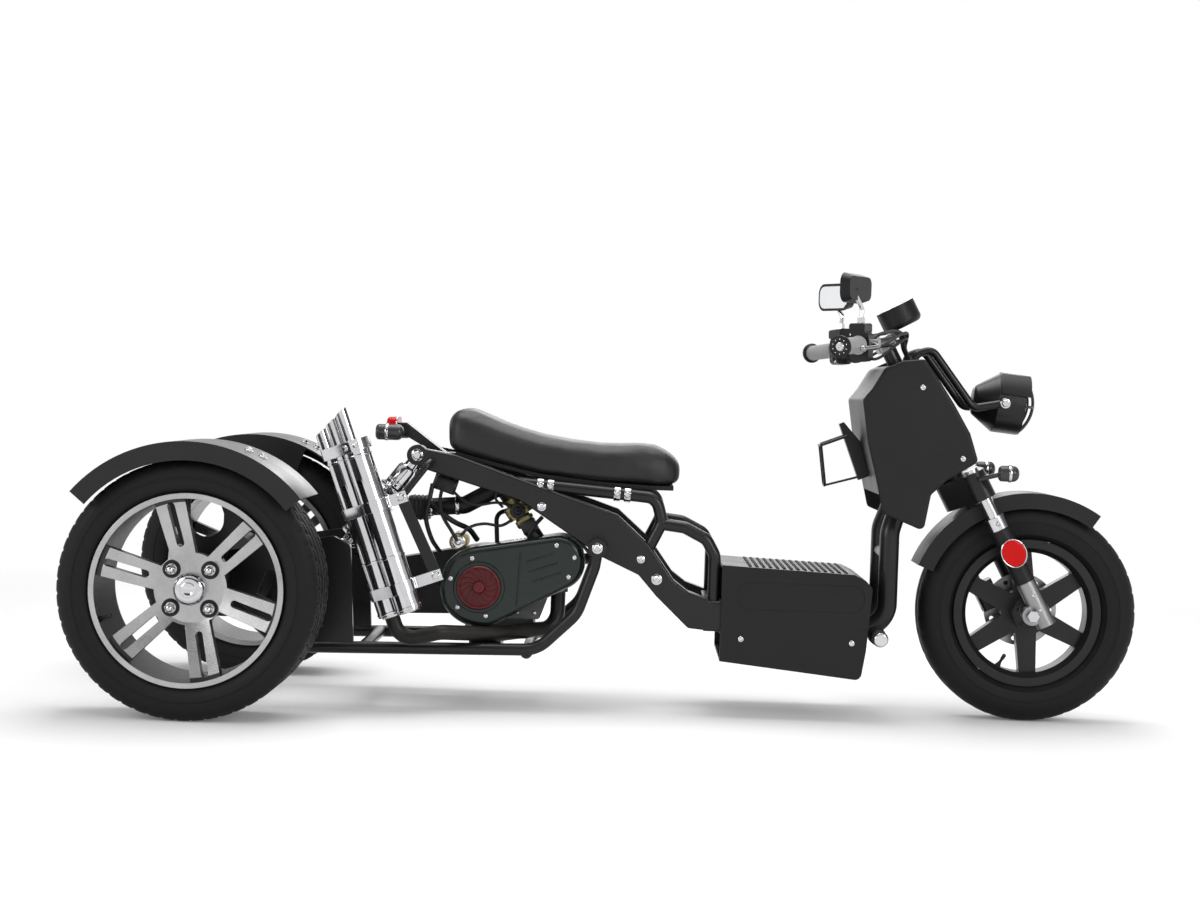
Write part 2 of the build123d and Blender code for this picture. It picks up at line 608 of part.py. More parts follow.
with BuildPart() as fork_yoke:
    with BuildSketch(FORK.offset(YOKE_LOW)) as yoke_plan:
        with Locations((AXIS_U, 0)):
            Circle(YOKE_R)
        with Locations(*LEGS):
            Circle(COVER_D / 2 + 4)
        make_hull()
        with Locations(*LEGS):
            Circle(STANCHION_D / 2 + PASS_GAP, mode=Mode.SUBTRACT)
    extrude(amount=YOKE_TOP - YOKE_LOW)
    with BuildSketch(FORK.offset(YOKE_LOW)):
        with Locations((AXIS_U, 0)):
            Circle(STEERER_D / 2)
    extrude(amount=STEM_TOP - YOKE_LOW)
keep(fork_yoke, "fork_yoke")

with BuildPart() as fork_tubes:
    with BuildSketch(FORK.offset(COLLAR_LOW)):
        with Locations(*LEGS):
            Circle(STANCHION_D / 2)
    extrude(amount=YOKE_TOP + 8 - COLLAR_LOW)
    with BuildSketch(FORK.offset(COLLAR_LOW)):
        with Locations(*LEGS):
            Circle(COLLAR_D / 2)
    extrude(amount=COLLAR_TOP - COLLAR_LOW)
keep(fork_tubes, "fork_tubes")

with BuildPart() as fork_covers:
    with BuildSketch(FORK.offset(COVER_LOW)):
        with Locations(*LEGS):
            Circle(COVER_D / 2)
    extrude(amount=COLLAR_LOW - COVER_LOW)
keep(fork_covers, "fork_covers")

with BuildPart() as fork_legs:
    with BuildSketch(FORK.offset(LEG_END)):
        with Locations(*LEGS):
            Circle(COVER_D / 2 - 1)
    extrude(amount=COVER_LOW - LEG_END)
    with BuildSketch(FRONT_FACE.offset(LEG_Y - AXLE_BOSS_W / 2)):
        Circle(AXLE_BOSS_R)
    extrude(amount=AXLE_BOSS_W)
    with BuildSketch(FRONT_FACE.offset(-LEG_Y - AXLE_BOSS_W / 2)):
        Circle(AXLE_BOSS_R)
    extrude(amount=AXLE_BOSS_W)
    with BuildSketch(FRONT_FACE.offset(-2 * LEG_Y)):
        Circle(FRONT_AXLE_D / 2 + PASS_GAP)
    extrude(amount=4 * LEG_Y, mode=Mode.SUBTRACT)
keep(fork_legs, "fork_legs")

AXLE_NUT_R = 13.0
AXLE_NUT_L = 12.0
axle_reach = LEG_Y + COVER_D / 2
with BuildPart() as front_axle:
    with BuildSketch(FRONT_FACE.offset(-axle_reach)):
        Circle(FRONT_AXLE_D / 2)
    extrude(amount=2 * axle_reach)
    for side in (-axle_reach - AXLE_NUT_L, axle_reach):
        with BuildSketch(FRONT_FACE.offset(side)):
            RegularPolygon(AXLE_NUT_R, 6)
        extrude(amount=AXLE_NUT_L)
keep(front_axle, "front_axle")

# Front fender: rolled shell over the tyre, held between the collars
GUARD_T = 3.5
GUARD_FROM = 56.0
GUARD_TO = 158.0
GUARD_SKIRT = 34.0
GUARD_W = 2 * (LEG_Y - COLLAR_D / 2 - SEAT_GAP)
with BuildPart() as front_fender:
    with BuildSketch(FRONT_FACE.offset(-GUARD_W / 2)) as guard_side:
        Circle(GUARD_R)
        Circle(GUARD_R - GUARD_SKIRT, mode=Mode.SUBTRACT)
        with BuildLine():
            Polyline(
                (0, 0), (600 * cos(radians(GUARD_FROM)), 600 * sin(radians(GUARD_FROM))), (0, 900),
                (600 * cos(radians(GUARD_TO)), 600 * sin(radians(GUARD_TO))), close=True,
            )
        make_face(mode=Mode.INTERSECT)
    extrude(amount=GUARD_W)
    with BuildSketch(FRONT_FACE.offset(-GUARD_W / 2 + GUARD_T)):
        Circle(GUARD_R - GUARD_T)
    extrude(amount=GUARD_W - 2 * GUARD_T, mode=Mode.SUBTRACT)
    with BuildSketch(FORK.offset(COLLAR_LOW)):
        for side in (-1, 1):
            with Locations((LEG_U, side * (GUARD_W - GUARD_T) / 2)):
                Rectangle(28, GUARD_T)
    extrude(amount=GUARD_R - GUARD_T - COLLAR_LOW - 2)
keep(front_fender, "front_fender")

# Brake caliper behind the left leg, and its hose up to the yoke
CALIPER_W = 46.0
CALIPER_U = -52.0
CALIPER_LOW = 30.0
CALIPER_L = 62.0
HOSE_D = 8.0
with BuildPart() as brake_caliper:
    with BuildSketch(FORK.offset(CALIPER_LOW)):
        with Locations((CALIPER_U, FRONT_HUB_W / 2 + DISC_T / 2)):
            RectangleRounded(46, CALIPER_W, 10)
    extrude(amount=CALIPER_L)
    with BuildSketch(FRONT_FACE.offset(-FRONT_HUB_W / 2 - DISC_T - 6)):
        Circle(DISC_R + 6)
    extrude(amount=DISC_T + 12, mode=Mode.SUBTRACT)
    with BuildSketch(FORK.offset(CALIPER_LOW + 14)):
        with Locations(((CALIPER_U + LEG_U) / 2, LEG_Y - 8)):
            Rectangle(LEG_U - CALIPER_U + 20, 30)
        with Locations(*LEGS):
            Circle(COVER_D / 2 - 1 + PASS_GAP, mode=Mode.SUBTRACT)
        with Locations((CALIPER_U, LEG_Y)):
            Rectangle(2 * (LEG_U - CALIPER_U), 60, mode=Mode.INTERSECT)
    extrude(amount=24)
keep(brake_caliper, "brake_caliper")

with BuildPart() as brake_hose:
    tube(
        HOSE_D, 24,
        on_fork(CALIPER_U, FRONT_HUB_W / 2 + 10, CALIPER_LOW + CALIPER_L + SEAT_GAP),
        on_fork(CALIPER_U, FRONT_HUB_W / 2 + 10, CALIPER_LOW + CALIPER_L + 16),
        on_fork(CALIPER_U - 14, LEG_Y - 2, (CALIPER_LOW + CALIPER_L + YOKE_LOW) / 2),
        on_fork(LEG_U - 22, LEG_Y - 8, YOKE_LOW - 30),
        on_fork(LEG_U - 22, LEG_Y - 8, YOKE_LOW - SEAT_GAP),
    )
keep(brake_hose, "brake_hose")

REFLECTOR_R = 30.0
with BuildPart() as reflectors:
    with BuildSketch(FRONT_FACE.offset(LEG_Y + COVER_D / 2 + SEAT_GAP)):
        with Locations(tuple(FRONT_FACE.to_local_coords(Vector(*on_fork(LEG_U + 2, -LEG_Y, 140))))[:2]):
            Ellipse(REFLECTOR_R, REFLECTOR_R - 4, rotation=118)
    extrude(amount=9)
    fillet(reflectors.faces().sort_by(Axis.Y)[0].edges(), 5)
    mirror(about=Plane.XZ)
keep(reflectors, "reflectors")

# Handlebar, grips, controls
BAR_D = 22.0
BAR_CLAMP = head(-152, 293)
BAR_HALF = 375.0
CLAMP_L = 30.0
GRIP_AT = head(-285, 272)
GRIP_L = 125.0
GRIP_D = 34.0
BAR_KNEE_Y = 180.0
BAR_KNEE = head(-204, 284)
with BuildPart() as handlebar:
    tube(
        BAR_D, 40,
        at_y(BAR_CLAMP, 0),
        at_y(BAR_CLAMP, -80),
        at_y(BAR_KNEE, -BAR_KNEE_Y),
        at_y(GRIP_AT, -BAR_HALF),
    )
    mirror(about=Plane.XZ)
    with BuildSketch(FORK.offset(STEM_TOP)):
        with Locations((AXIS_U, 0)):
            RectangleRounded(46, 70, 8)
    extrude(amount=CLAMP_L)
keep(handlebar, "handlebar")

# Line of each grip, from inner end to outer end
grip_in = Vector(*at_y(BAR_KNEE, -BAR_KNEE_Y))
grip_out = Vector(*at_y(GRIP_AT, -BAR_HALF))
GRIP = Plane(origin=grip_out, x_dir=(0, 0, 1), z_dir=grip_in - grip_out)

with BuildPart() as grips:
    with BuildSketch(GRIP.offset(-6)):
        Circle(GRIP_D / 2)
    extrude(amount=GRIP_L)
    with BuildSketch(GRIP.offset(-6)):
        Circle(GRIP_D / 2 + 5)
    extrude(amount=8)
    with BuildSketch(GRIP):
        Circle(BAR_D / 2 + PASS_GAP)
    extrude(amount=GRIP_L, mode=Mode.SUBTRACT)
    mirror(about=Plane.XZ)
keep(grips, "grips")

SWITCH_W = 34.0
SWITCH_H = 62.0
with BuildPart() as controls:
    with BuildSketch(GRIP.offset(GRIP_L + 2)):
        with Locations((-4, 0)):
            RectangleRounded(SWITCH_H, SWITCH_W + 6, 10)
    extrude(amount=SWITCH_W)
    with BuildSketch(GRIP.offset(GRIP_L + 2)):
        with Locations((34, -6)):
            RectangleRounded(22, 34, 6)
    extrude(amount=SWITCH_W + 20)
    with BuildSketch(GRIP.offset(GRIP_L)):
        Circle(BAR_D / 2 + PASS_GAP)
    extrude(amount=2 * SWITCH_W, mode=Mode.SUBTRACT)
    mirror(about=Plane.XZ)
keep(controls, "controls")

LEVER_D = 9.0
with BuildPart() as levers:
    lever_root = Vector(*tuple(GRIP.from_local_coords((4, 26, GRIP_L + 12))))
    lever_mid = Vector(*tuple(GRIP.from_local_coords((-2, 52, GRIP_L - 34))))
    lever_tip = Vector(*tuple(GRIP.from_local_coords((-4, 44, 12))))
    tube(LEVER_D, 30, lever_root, lever_mid, lever_tip)
    with BuildSketch(GRIP.offset(GRIP_L + 4)):
        with Locations((4, (SWITCH_W + 6) / 2)):
            Rectangle(16, 20, align=(Align.CENTER, Align.MIN))
    extrude(amount=18)
    mirror(about=Plane.XZ)
keep(levers, "levers")

# Speedometer pod, its dial facing up and back to the rider
POD_R = 44.0
POD_L = 48.0
POD_U = 37.0
POD = Plane(
    origin=on_fork(POD_U, 0, STEM_TOP + CLAMP_L + SEAT_GAP),
    x_dir=(cos(radians(RAKE)), 0, sin(radians(RAKE))),
    z_dir=(-sin(radians(RAKE)), 0, cos(radians(RAKE))),
)
with BuildPart() as speedometer:
    with BuildSketch(POD):
        Circle(POD_R)
    extrude(amount=POD_L)
    fillet(speedometer.faces().sort_by(Axis.Z)[0].edges(), 12)
    with BuildSketch(POD.offset(POD_L - 3)):
        Circle(POD_R - 5)
    extrude(amount=3, mode=Mode.SUBTRACT)
keep(speedometer, "speedometer")

# Mirrors on bent stems that stand on the control housings
STEM_D = 10.0
MIRROR_W = 120.0
MIRROR_H = 62.0
MIRROR_T = 20.0
mirror_foot = Vector(*tuple(GRIP.from_local_coords((45 + SEAT_GAP, -6, GRIP_L + 30))))
mirror_knee = mirror_foot + Vector(2, 2, 30)
mirror_head = mirror_foot + Vector(-20, -16, 66)
with BuildPart() as mirror_stems:
    tube(STEM_D, 14, mirror_foot + GRIP.x_dir * 8, mirror_knee, mirror_head)
    with BuildSketch(Plane(origin=mirror_foot, z_dir=GRIP.x_dir)):
        RegularPolygon(9, 6)
    extrude(amount=12)
    mirror(about=Plane.XZ)
keep(mirror_stems, "mirror_stems")

MIRROR = Plane(origin=mirror_head + Vector(0, 24, 6), x_dir=(0.5, 0.86, 0), z_dir=(-0.86, 0.5, 0))
with BuildPart() as mirror_heads:
    with BuildSketch(MIRROR):
        RectangleRounded(MIRROR_W, MIRROR_H, 22)
    extrude(amount=-MIRROR_T, taper=18)
    tube(STEM_D + 6, 0, mirror_head + Vector(0, 0, 0), mirror_head + Vector(5, 6, 4))
    mirror(about=Plane.XZ)
keep(mirror_heads, "mirror_heads")

# Front turn signals on the yoke
SIGNAL_R = 17.0
SIGNAL_STALK_D = 10.0
with BuildPart() as front_signals:
    signal_root = Vector(*on_fork(LEG_U + 4, -LEG_Y - COVER_D / 2 - 7.8, YOKE_LOW + 46))
    with BuildSketch(Plane(origin=signal_root + Vector(34, -42.2, 15), z_dir=(1, 0, 0))):
        Circle(SIGNAL_R)
    extrude(amount=44)
    fillet(front_signals.faces().sort_by(Axis.X)[-1].edges(), 14)
    fillet(front_signals.faces().sort_by(Axis.X)[0].edges(), 8)
    tube(SIGNAL_STALK_D, 0, signal_root, signal_root + Vector(46, -32.2, 14))
    mirror(about=Plane.XZ)
keep(front_signals, "front_signals")

# Leg shield: side outline from the steering head's low end: x, z
SHIELD = (
    (-216, 166), (-196, 192), (-172, 234), (-134, 252), (-87, 257), (-52, 208), (-22, 163), (14, 102), (34, 42),
    (-31, 1), (-64, -31), (-77, -109), (-165, -74), (-182, -1), (-202, 74),
)
# places where the shell is open, from the same point: x, z, length, height, turn
SHIELD_OPEN = (
    (-45, -66, 150, 140, 40), (-130, 270, 120, 60, 0), (4, 18, 110, 60, 34), (-122, -90, 150, 70, -20),
)
SHIELD_EDGE_R = 6.5
with BuildPart() as leg_shield:
    with BuildSketch(Plane.XZ.offset(-SHIELD_HALF_W)) as shield_side:
        with BuildLine():
            Polyline(*[head(*p) for p in SHIELD], close=True)
        make_face()
        fillet(shield_side.vertices(), 12)
    extrude(amount=2 * SHIELD_HALF_W)
    for side in (0, -1):
        fillet(leg_shield.faces().sort_by(Axis.Y)[side].edges(), SHIELD_EDGE_R)
    with BuildSketch(Plane.XZ.offset(-SHIELD_HALF_W + SHIELD_WALL)) as shield_hollow:
        with BuildLine():
            Polyline(*[head(*p) for p in SHIELD], close=True)
        make_face()
        offset(amount=-SHIELD_WALL)
        for open_x, open_z, open_l, open_h, turn in SHIELD_OPEN:
            with Locations(head(open_x, open_z)):
                Rectangle(open_l, open_h, rotation=turn)
    extrude(amount=2 * SHIELD_HALF_W - 2 * SHIELD_WALL, mode=Mode.SUBTRACT)
keep(leg_shield, "leg_shield")

# Floor box between the rails' cross beam and the down tubes
FLOOR_HALF_W = 160.0
FLOOR_WALL = 6.0
FLOOR_FRONT = -362.0
FLOOR_TOP = 62.0
FLOOR_HOLE_GAP = 2.5
with BuildPart() as floor_box:
    rear_x = aft(FLOOR_REAR, 0)[0]
    front_x = fore(FLOOR_FRONT, 0)[0]
    top_z = aft(0, FLOOR_TOP)[1]
    with BuildSketch(Plane.XZ.offset(-FLOOR_HALF_W)) as floor_side:
        with BuildLine():
            Polyline(
                (rear_x, top_z - 203), (front_x - 7, top_z - 234), (front_x + 3, top_z - 171),
                (front_x + 13, top_z - 37), (front_x - 2, top_z - 21), (front_x - 28, top_z - 9),
                (rear_x + 47, top_z), (rear_x, top_z + 2), close=True,
            )
        make_face()
        fillet(floor_side.vertices().sort_by(Axis.X)[2:], 14)
    extrude(amount=2 * FLOOR_HALF_W)
    with BuildSketch(Plane.XZ.offset(-FLOOR_HALF_W + FLOOR_WALL)):
        with BuildLine():
            Polyline(
                (rear_x - 1, top_z - 197), (front_x - 12, top_z - 227), (front_x - 3, top_z - 171),
                (front_x + 7, top_z - 39), (front_x - 6, top_z - 26), (front_x - 30, top_z - 15),
                (rear_x + 47, top_z - 6), (rear_x - 1, top_z - 4), close=True,
            )
        make_face()
    extrude(amount=2 * FLOOR_HALF_W - 2 * FLOOR_WALL, mode=Mode.SUBTRACT)
    with BuildSketch(Plane.YZ.offset(front_x - 30)):
        with Locations((-DOWN_Y, aft(0, FLOOR_TUBE_Z)[1]), (DOWN_Y, aft(0, FLOOR_TUBE_Z)[1])):
            Circle(DOWN_D / 2 + FLOOR_HOLE_GAP)
    extrude(amount=60, mode=Mode.SUBTRACT)
    for side in (-FLOOR_HALF_W, FLOOR_HALF_W - 2.5):
        with BuildSketch(Plane.XZ.offset(side)):
            with Locations(((rear_x + front_x) / 2 + 15, top_z - 62)):
                RectangleRounded(272, 60, 26)
        extrude(amount=2.5, mode=Mode.SUBTRACT)
keep(floor_box, "floor_box")

# Seat and the pan below it
SEAT_HALF_W = 140.0
PAN_HALF_W = 112.0
with BuildPart() as seat:
    with BuildSketch(Plane.XZ.offset(-SEAT_HALF_W)) as seat_side:
        with BuildLine():
            Polyline(*[aft(*p) for p in SEAT_UPPER + SEAT_LOWER], close=True)
        make_face()
        fillet(seat_side.vertices(), 9)
    extrude(amount=2 * SEAT_HALF_W)
    for side in (0, -1):
        fillet(seat.faces().sort_by(Axis.Y)[side].edges(), 8)
keep(seat, "seat")

with BuildPart() as seat_pan:
    with BuildSketch(Plane.XZ.offset(-PAN_HALF_W)):
        with BuildLine():
            Polyline(
                *[aft(x, z - SEAT_GAP) for x, z in SEAT_LOWER],
                *[aft(x, z - SEAT_GAP - PAN_T) for x, z in reversed(SEAT_LOWER)],
                close=True,
            )
        make_face()
    extrude(amount=2 * PAN_HALF_W)
keep(seat_pan, "seat_pan")

# Headlamp: bucket with hood, lens and domed wire grille
LAMP_AT = head(142, 164)
LAMP_TILT = -6.0
LAMP_R = 64.0
LAMP_L = 104.0
LENS_R = 56.0
HOOD_ARC = 72.0
WIRE_D = 5.0
GRILLE_BULGE = 28.0
LAMP = Plane(
    origin=at_y(LAMP_AT, 0),
    x_dir=(cos(radians(LAMP_TILT)), 0, sin(radians(LAMP_TILT))),
    z_dir=(0, -1, 0),
)
LAMP_LINE = Axis(LAMP.origin, LAMP.x_dir)
with BuildPart() as headlamp_bucket:
    with BuildSketch(LAMP) as bucket_half:
        with BuildLine():
            Polyline(
                (-LAMP_L, 0), (-LAMP_L, 30), (-LAMP_L + 50, LAMP_R), (0, LAMP_R), (0, LENS_R + 2),
                (-14, LENS_R + 2), (-14, 0), close=True,
            )
        make_face()
        fillet(bucket_half.vertices().group_by(Axis.X)[0].sort_by(Axis.Y)[-1:], 14)
    revolve(axis=LAMP_LINE)
    with BuildSketch(LAMP):
        with Locations((-50, LAMP_R - 0.5)):
            Rectangle(64, 4.5, align=(Align.MIN, Align.MIN))
    revolve(axis=LAMP_LINE, revolution_arc=HOOD_ARC)
    with BuildSketch(LAMP):
        with Locations((-50, LAMP_R - 0.5)):
            Rectangle(64, 4.5, align=(Align.MIN, Align.MIN))
    revolve(axis=LAMP_LINE, revolution_arc=-HOOD_ARC)
keep(headlamp_bucket, "headlamp_bucket")

with BuildPart() as headlamp_lens:
    with BuildSketch(LAMP):
        with BuildLine():
            Polyline((-14, 0), (-14, LENS_R), (-8, LENS_R), (-3, LENS_R / 2), (-2, 0), close=True)
        make_face()
    revolve(axis=LAMP_LINE)
keep(headlamp_lens, "headlamp_lens")

with BuildPart() as headlamp_grille:
    with BuildSketch(LAMP):
        with Locations((WIRE_D / 2, LENS_R + 2 + WIRE_D / 2)):
            Rectangle(WIRE_D, WIRE_D)
    revolve(axis=LAMP_LINE)
    ring_r = LENS_R + 2 + WIRE_D / 2
    for across in (-30, 0, 30):
        half = (ring_r**2 - across**2) ** 0.5
        with BuildLine() as wire:
            ThreePointArc(
                LAMP.from_local_coords((WIRE_D / 2, -half, across)),
                LAMP.from_local_coords((WIRE_D / 2 + GRILLE_BULGE * (1 - (across / ring_r) ** 2), 0, across)),
                LAMP.from_local_coords((WIRE_D / 2, half, across)),
            )
        with BuildSketch(Plane(origin=wire.line @ 0, z_dir=wire.line % 0)) as wire_end:
            Circle(WIRE_D / 2)
        sweep(sections=wire_end.sketch, path=wire.line)
    with BuildLine() as wire:
        ThreePointArc(
            LAMP.from_local_coords((WIRE_D / 2, 0, -ring_r)),
            LAMP.from_local_coords((WIRE_D / 2 + GRILLE_BULGE, 0, 0)),
            LAMP.from_local_coords((WIRE_D / 2, 0, ring_r)),
        )
    with BuildSketch(Plane(origin=wire.line @ 0, z_dir=wire.line % 0)) as wire_end:
        Circle(WIRE_D / 2)
    sweep(sections=wire_end.sketch, path=wire.line)
keep(headlamp_grille, "headlamp_grille")

LAMP_TUBE_D = 17.0
LAMP_TUBE_Y = 75.0
LAMP_ROOT = head(-73, 204)
LAMP_PIVOT = (-44, 0)
with BuildPart() as lamp_bracket:
    lamp_pin = tuple(LAMP.from_local_coords((LAMP_PIVOT[0], LAMP_PIVOT[1], 0)))
    tube(
        LAMP_TUBE_D, 22,
        at_y(LAMP_ROOT, -LAMP_TUBE_Y),
        at_y(head(-111, 262), -LAMP_TUBE_Y),
        at_y(head(-62, 280), -LAMP_TUBE_Y),
        at_y(head(32, 156), -LAMP_TUBE_Y),
        (lamp_pin[0], -LAMP_TUBE_Y, lamp_pin[2]),
    )
    with BuildSketch(Plane.XZ.offset(LAMP_R)):
        with Locations((lamp_pin[0], lamp_pin[2])):
            Circle(12)
    extrude(amount=LAMP_TUBE_Y + 14 - LAMP_R)
    mirror(about=Plane.XZ)
    tube(LAMP_TUBE_D, 0, at_y(LAMP_ROOT, -shield_reach), at_y(LAMP_ROOT, shield_reach))
keep(lamp_bracket, "lamp_bracket")

# Tail: bracket, lamp and bullet signals
TAIL_HALF_W = 34.0
TAIL_X = 366.0
TAIL_Z = CROSS_TUBES[0][1] + CROSS_TUBE_D / 2 + SEAT_GAP
with BuildPart() as tail_bracket:
    with BuildSketch(Plane.XZ.offset(-TAIL_HALF_W)):
        with BuildLine():
            Polyline(
                aft(496, TAIL_Z), aft(462, TAIL_Z), aft(380, 316), aft(TAIL_X, 316), aft(TAIL_X, 342),
                aft(386, 342),
                aft(470, TAIL_Z + 10), aft(496, TAIL_Z + 10), close=True,
            )
        make_face()
    extrude(amount=2 * TAIL_HALF_W)
keep(tail_bracket, "tail_bracket")

with BuildPart() as tail_lamp:
    with BuildSketch(Plane.YZ.offset(aft(TAIL_X, 0)[0])):
        with Locations((0, aft(0, 332)[1])):
            RectangleRounded(96, 44, 14)
    extrude(amount=-24)
    fillet(tail_lamp.faces().sort_by(Axis.X)[0].edges(), 8)
keep(tail_lamp, "tail_lamp")

with BuildPart() as rear_signals:
    signal_at = aft(378, 322)
    with BuildSketch(Plane.YZ.offset(aft(386, 0)[0])):
        with Locations((-TAIL_HALF_W - 70, signal_at[1])):
            Circle(SIGNAL_R)
    extrude(amount=-60)
    fillet(rear_signals.faces().sort_by(Axis.X)[-1].edges(), 14)
    fillet(rear_signals.faces().sort_by(Axis.X)[0].edges(), 8)
    tube(SIGNAL_STALK_D, 0, at_y(signal_at, -TAIL_HALF_W), at_y(signal_at, -TAIL_HALF_W - 60))
    mirror(about=Plane.XZ)
keep(rear_signals, "rear_signals")

# Engine, lying forward, with fan at the right and belt drive at the left
CRANK = (562, -1)
HEAD = (728, 56)
CRANK_R = 78.0
HEAD_R = 52.0
CASE_RIGHT_Y = 95.0
CASE_LEFT_Y = 70.0
SHROUD_R = 86.0
SHROUD_HEAD_R = 58.0
SHROUD_Y = 158.0
FAN_R = 46.0
FAN_T = 10.0
DRIVE_REAR = (376, -22)
DRIVE_R = 78.0
DRIVE_REAR_R = 62.0
DRIVE_Y = 146.0
PORT_Y = 40.0
PORT_R = 21.0
PORT_Z = -14.0
INTAKE_FROM = (690, 84)
INTAKE_TO = (652, 138)
INTAKE_Y = 60.0
INTAKE_D = 34.0
FINS = 5
FIN_PITCH = 9.0
FIN_DEPTH = 14.0
# side view of the sump below the shroud, from the rear axle: x, z
SUMP = ((535, -30), (535, -72), (690, -72), (705, -30))
crank_at = Vector(*at_y(aft(*CRANK), 0))
head_at = Vector(*at_y(aft(*HEAD), 0))
CYLINDER = Plane(origin=crank_at, x_dir=(0, 1, 0), z_dir=head_at - crank_at)
with BuildPart() as engine_case:
    with BuildSketch(Plane.XZ.offset(-CASE_LEFT_Y)) as case_side:
        with Locations(aft(*CRANK)):
            Circle(CRANK_R)
        with Locations(aft(*HEAD)):
            Circle(HEAD_R)
        make_hull()
    extrude(amount=CASE_LEFT_Y + CASE_RIGHT_Y)
    for fin in range(FINS):
        groove = crank_at + CYLINDER.z_dir * (CRANK_R + 8 + fin * FIN_PITCH)
        with BuildSketch(Plane(origin=groove, x_dir=(0, 1, 0), z_dir=CYLINDER.z_dir)):
            Rectangle(400, 4 * CRANK_R)
            with Locations(((CASE_LEFT_Y - CASE_RIGHT_Y) / 2, 0)):
                Rectangle(CASE_LEFT_Y + CASE_RIGHT_Y - 2 * FIN_DEPTH, 2 * HEAD_R - FIN_DEPTH, mode=Mode.SUBTRACT)
        extrude(amount=FIN_PITCH / 2, mode=Mode.SUBTRACT)
    with BuildSketch(Plane.XY.offset(aft(0, ENGINE_FOOT[1])[1])):
        with Locations((aft(CRANK[0] + 40, 0)[0], 0)):
            RectangleRounded(150, 2 * CASE_LEFT_Y - 30, 12)
    extrude(amount=CRANK[1] - ENGINE_FOOT[1])
    with BuildSketch(Plane.XZ.offset(PORT_Y)) as sump_side:
        with BuildLine():
            Polyline(*[aft(*p) for p in SUMP], close=True)
        make_face()
        fillet(sump_side.vertices().group_by(Axis.Y)[0], 8)
    extrude(amount=CASE_RIGHT_Y - 5 - PORT_Y)
    with BuildSketch(Plane.XY.offset(aft(0, PORT_Z)[1])):
        with Locations((aft(HEAD[0], 0)[0], -PORT_Y)):
            Circle(PORT_R)
    extrude(amount=HEAD[1] - PORT_Z)
    tube(INTAKE_D, 0, at_y(aft(*INTAKE_FROM), -INTAKE_Y), at_y(aft(*INTAKE_TO), -INTAKE_Y))
keep(engine_case, "engine_case")

with BuildPart() as fan_shroud:
    with BuildSketch(Plane.XZ.offset(CASE_RIGHT_Y)) as shroud_side:
        with Locations(aft(*CRANK)):
            Circle(SHROUD_R)
        with Locations(aft(*HEAD)):
            Circle(SHROUD_HEAD_R)
        make_hull()
    extrude(amount=SHROUD_Y - CASE_RIGHT_Y)
    fillet(fan_shroud.faces().sort_by(Axis.Y)[0].edges(), 16)
keep(fan_shroud, "fan_shroud")

with BuildPart() as fan_cover:
    with BuildSketch(Plane.XZ.offset(SHROUD_Y)):
        with Locations(aft(*CRANK)):
            Circle(FAN_R)
            Circle(FAN_R * 0.3, mode=Mode.SUBTRACT)
    extrude(amount=FAN_T)
    with BuildSketch(Plane.XZ.offset(SHROUD_Y)):
        with Locations(aft(*CRANK)):
            Circle(FAN_R * 0.3)
    extrude(amount=FAN_T / 2)
keep(fan_cover, "fan_cover")

with BuildPart() as drive_case:
    with BuildSketch(Plane.XZ.offset(-CASE_LEFT_Y)) as drive_side:
        with Locations(aft(*CRANK)):
            Circle(DRIVE_R)
        with Locations(aft(*DRIVE_REAR)):
            Circle(DRIVE_REAR_R)
        make_hull()
    extrude(amount=CASE_LEFT_Y - DRIVE_Y)
    fillet(drive_case.faces().sort_by(Axis.Y)[-1].edges(), 14)
keep(drive_case, "drive_case")

CHAIN_T = 9.5
CHAIN_AXLE_R = 58.0
CHAIN_DRIVE_R = 47.0
with BuildPart() as chain_case:
    with BuildSketch(Plane.XZ.offset(-DRIVE_Y - SEAT_GAP)) as chain_side:
        with Locations(aft(0, 0)):
            Circle(CHAIN_AXLE_R)
        with Locations(aft(*DRIVE_REAR)):
            Circle(CHAIN_DRIVE_R)
        make_hull()
        with Locations(aft(0, 0)):
            Circle(AXLE_TUBE_D / 2 + PASS_GAP, mode=Mode.SUBTRACT)
    extrude(amount=-CHAIN_T)
keep(chain_case, "chain_case")

STARTER_R = 19.0
STARTER = (512, 92)
with BuildPart() as starter_motor:
    with BuildSketch(Plane.XZ.offset(30)):
        with Locations(aft(*STARTER)):
            Circle(STARTER_R)
    extrude(amount=100)
    fillet(starter_motor.faces().sort_by(Axis.Y)[0].edges(), 5)
keep(starter_motor, "starter_motor")

carb_at = Vector(*at_y(aft(*INTAKE_TO), -INTAKE_Y))
carb_from = Vector(*at_y(aft(*INTAKE_FROM), -INTAKE_Y))
CARB = Plane(origin=carb_at, x_dir=(0, 1, 0), z_dir=carb_at - carb_from)
CARB_L = 58.0
with BuildPart() as carburettor:
    with BuildSketch(CARB):
        RectangleRounded(52, 40, 8)
    extrude(amount=8)
    with BuildSketch(CARB):
        Circle(INTAKE_D / 2)
    extrude(amount=CARB_L)
    with BuildSketch(CARB.offset(14)):
        RectangleRounded(46, 54, 10)
    extrude(amount=28)
keep(carburettor, "carburettor")

FILTER_AT = (422, 160)
with BuildPart() as air_filter:
    carb_end = carb_at + CARB.z_dir * CARB_L
    tube(
        INTAKE_D + 4, 22,
        tuple(carb_end),
        tuple(carb_end + CARB.z_dir * 34),
        at_y(aft(520, 168), -INTAKE_Y),
        at_y(aft(*FILTER_AT), -INTAKE_Y),
    )
    with BuildSketch(Plane.YZ.offset(aft(FILTER_AT[0] + 22, 0)[0])):
        with Locations((-INTAKE_Y, aft(0, FILTER_AT[1])[1])):
            RectangleRounded(84, 50, 14)
    extrude(amount=-44)
keep(air_filter, "air_filter")

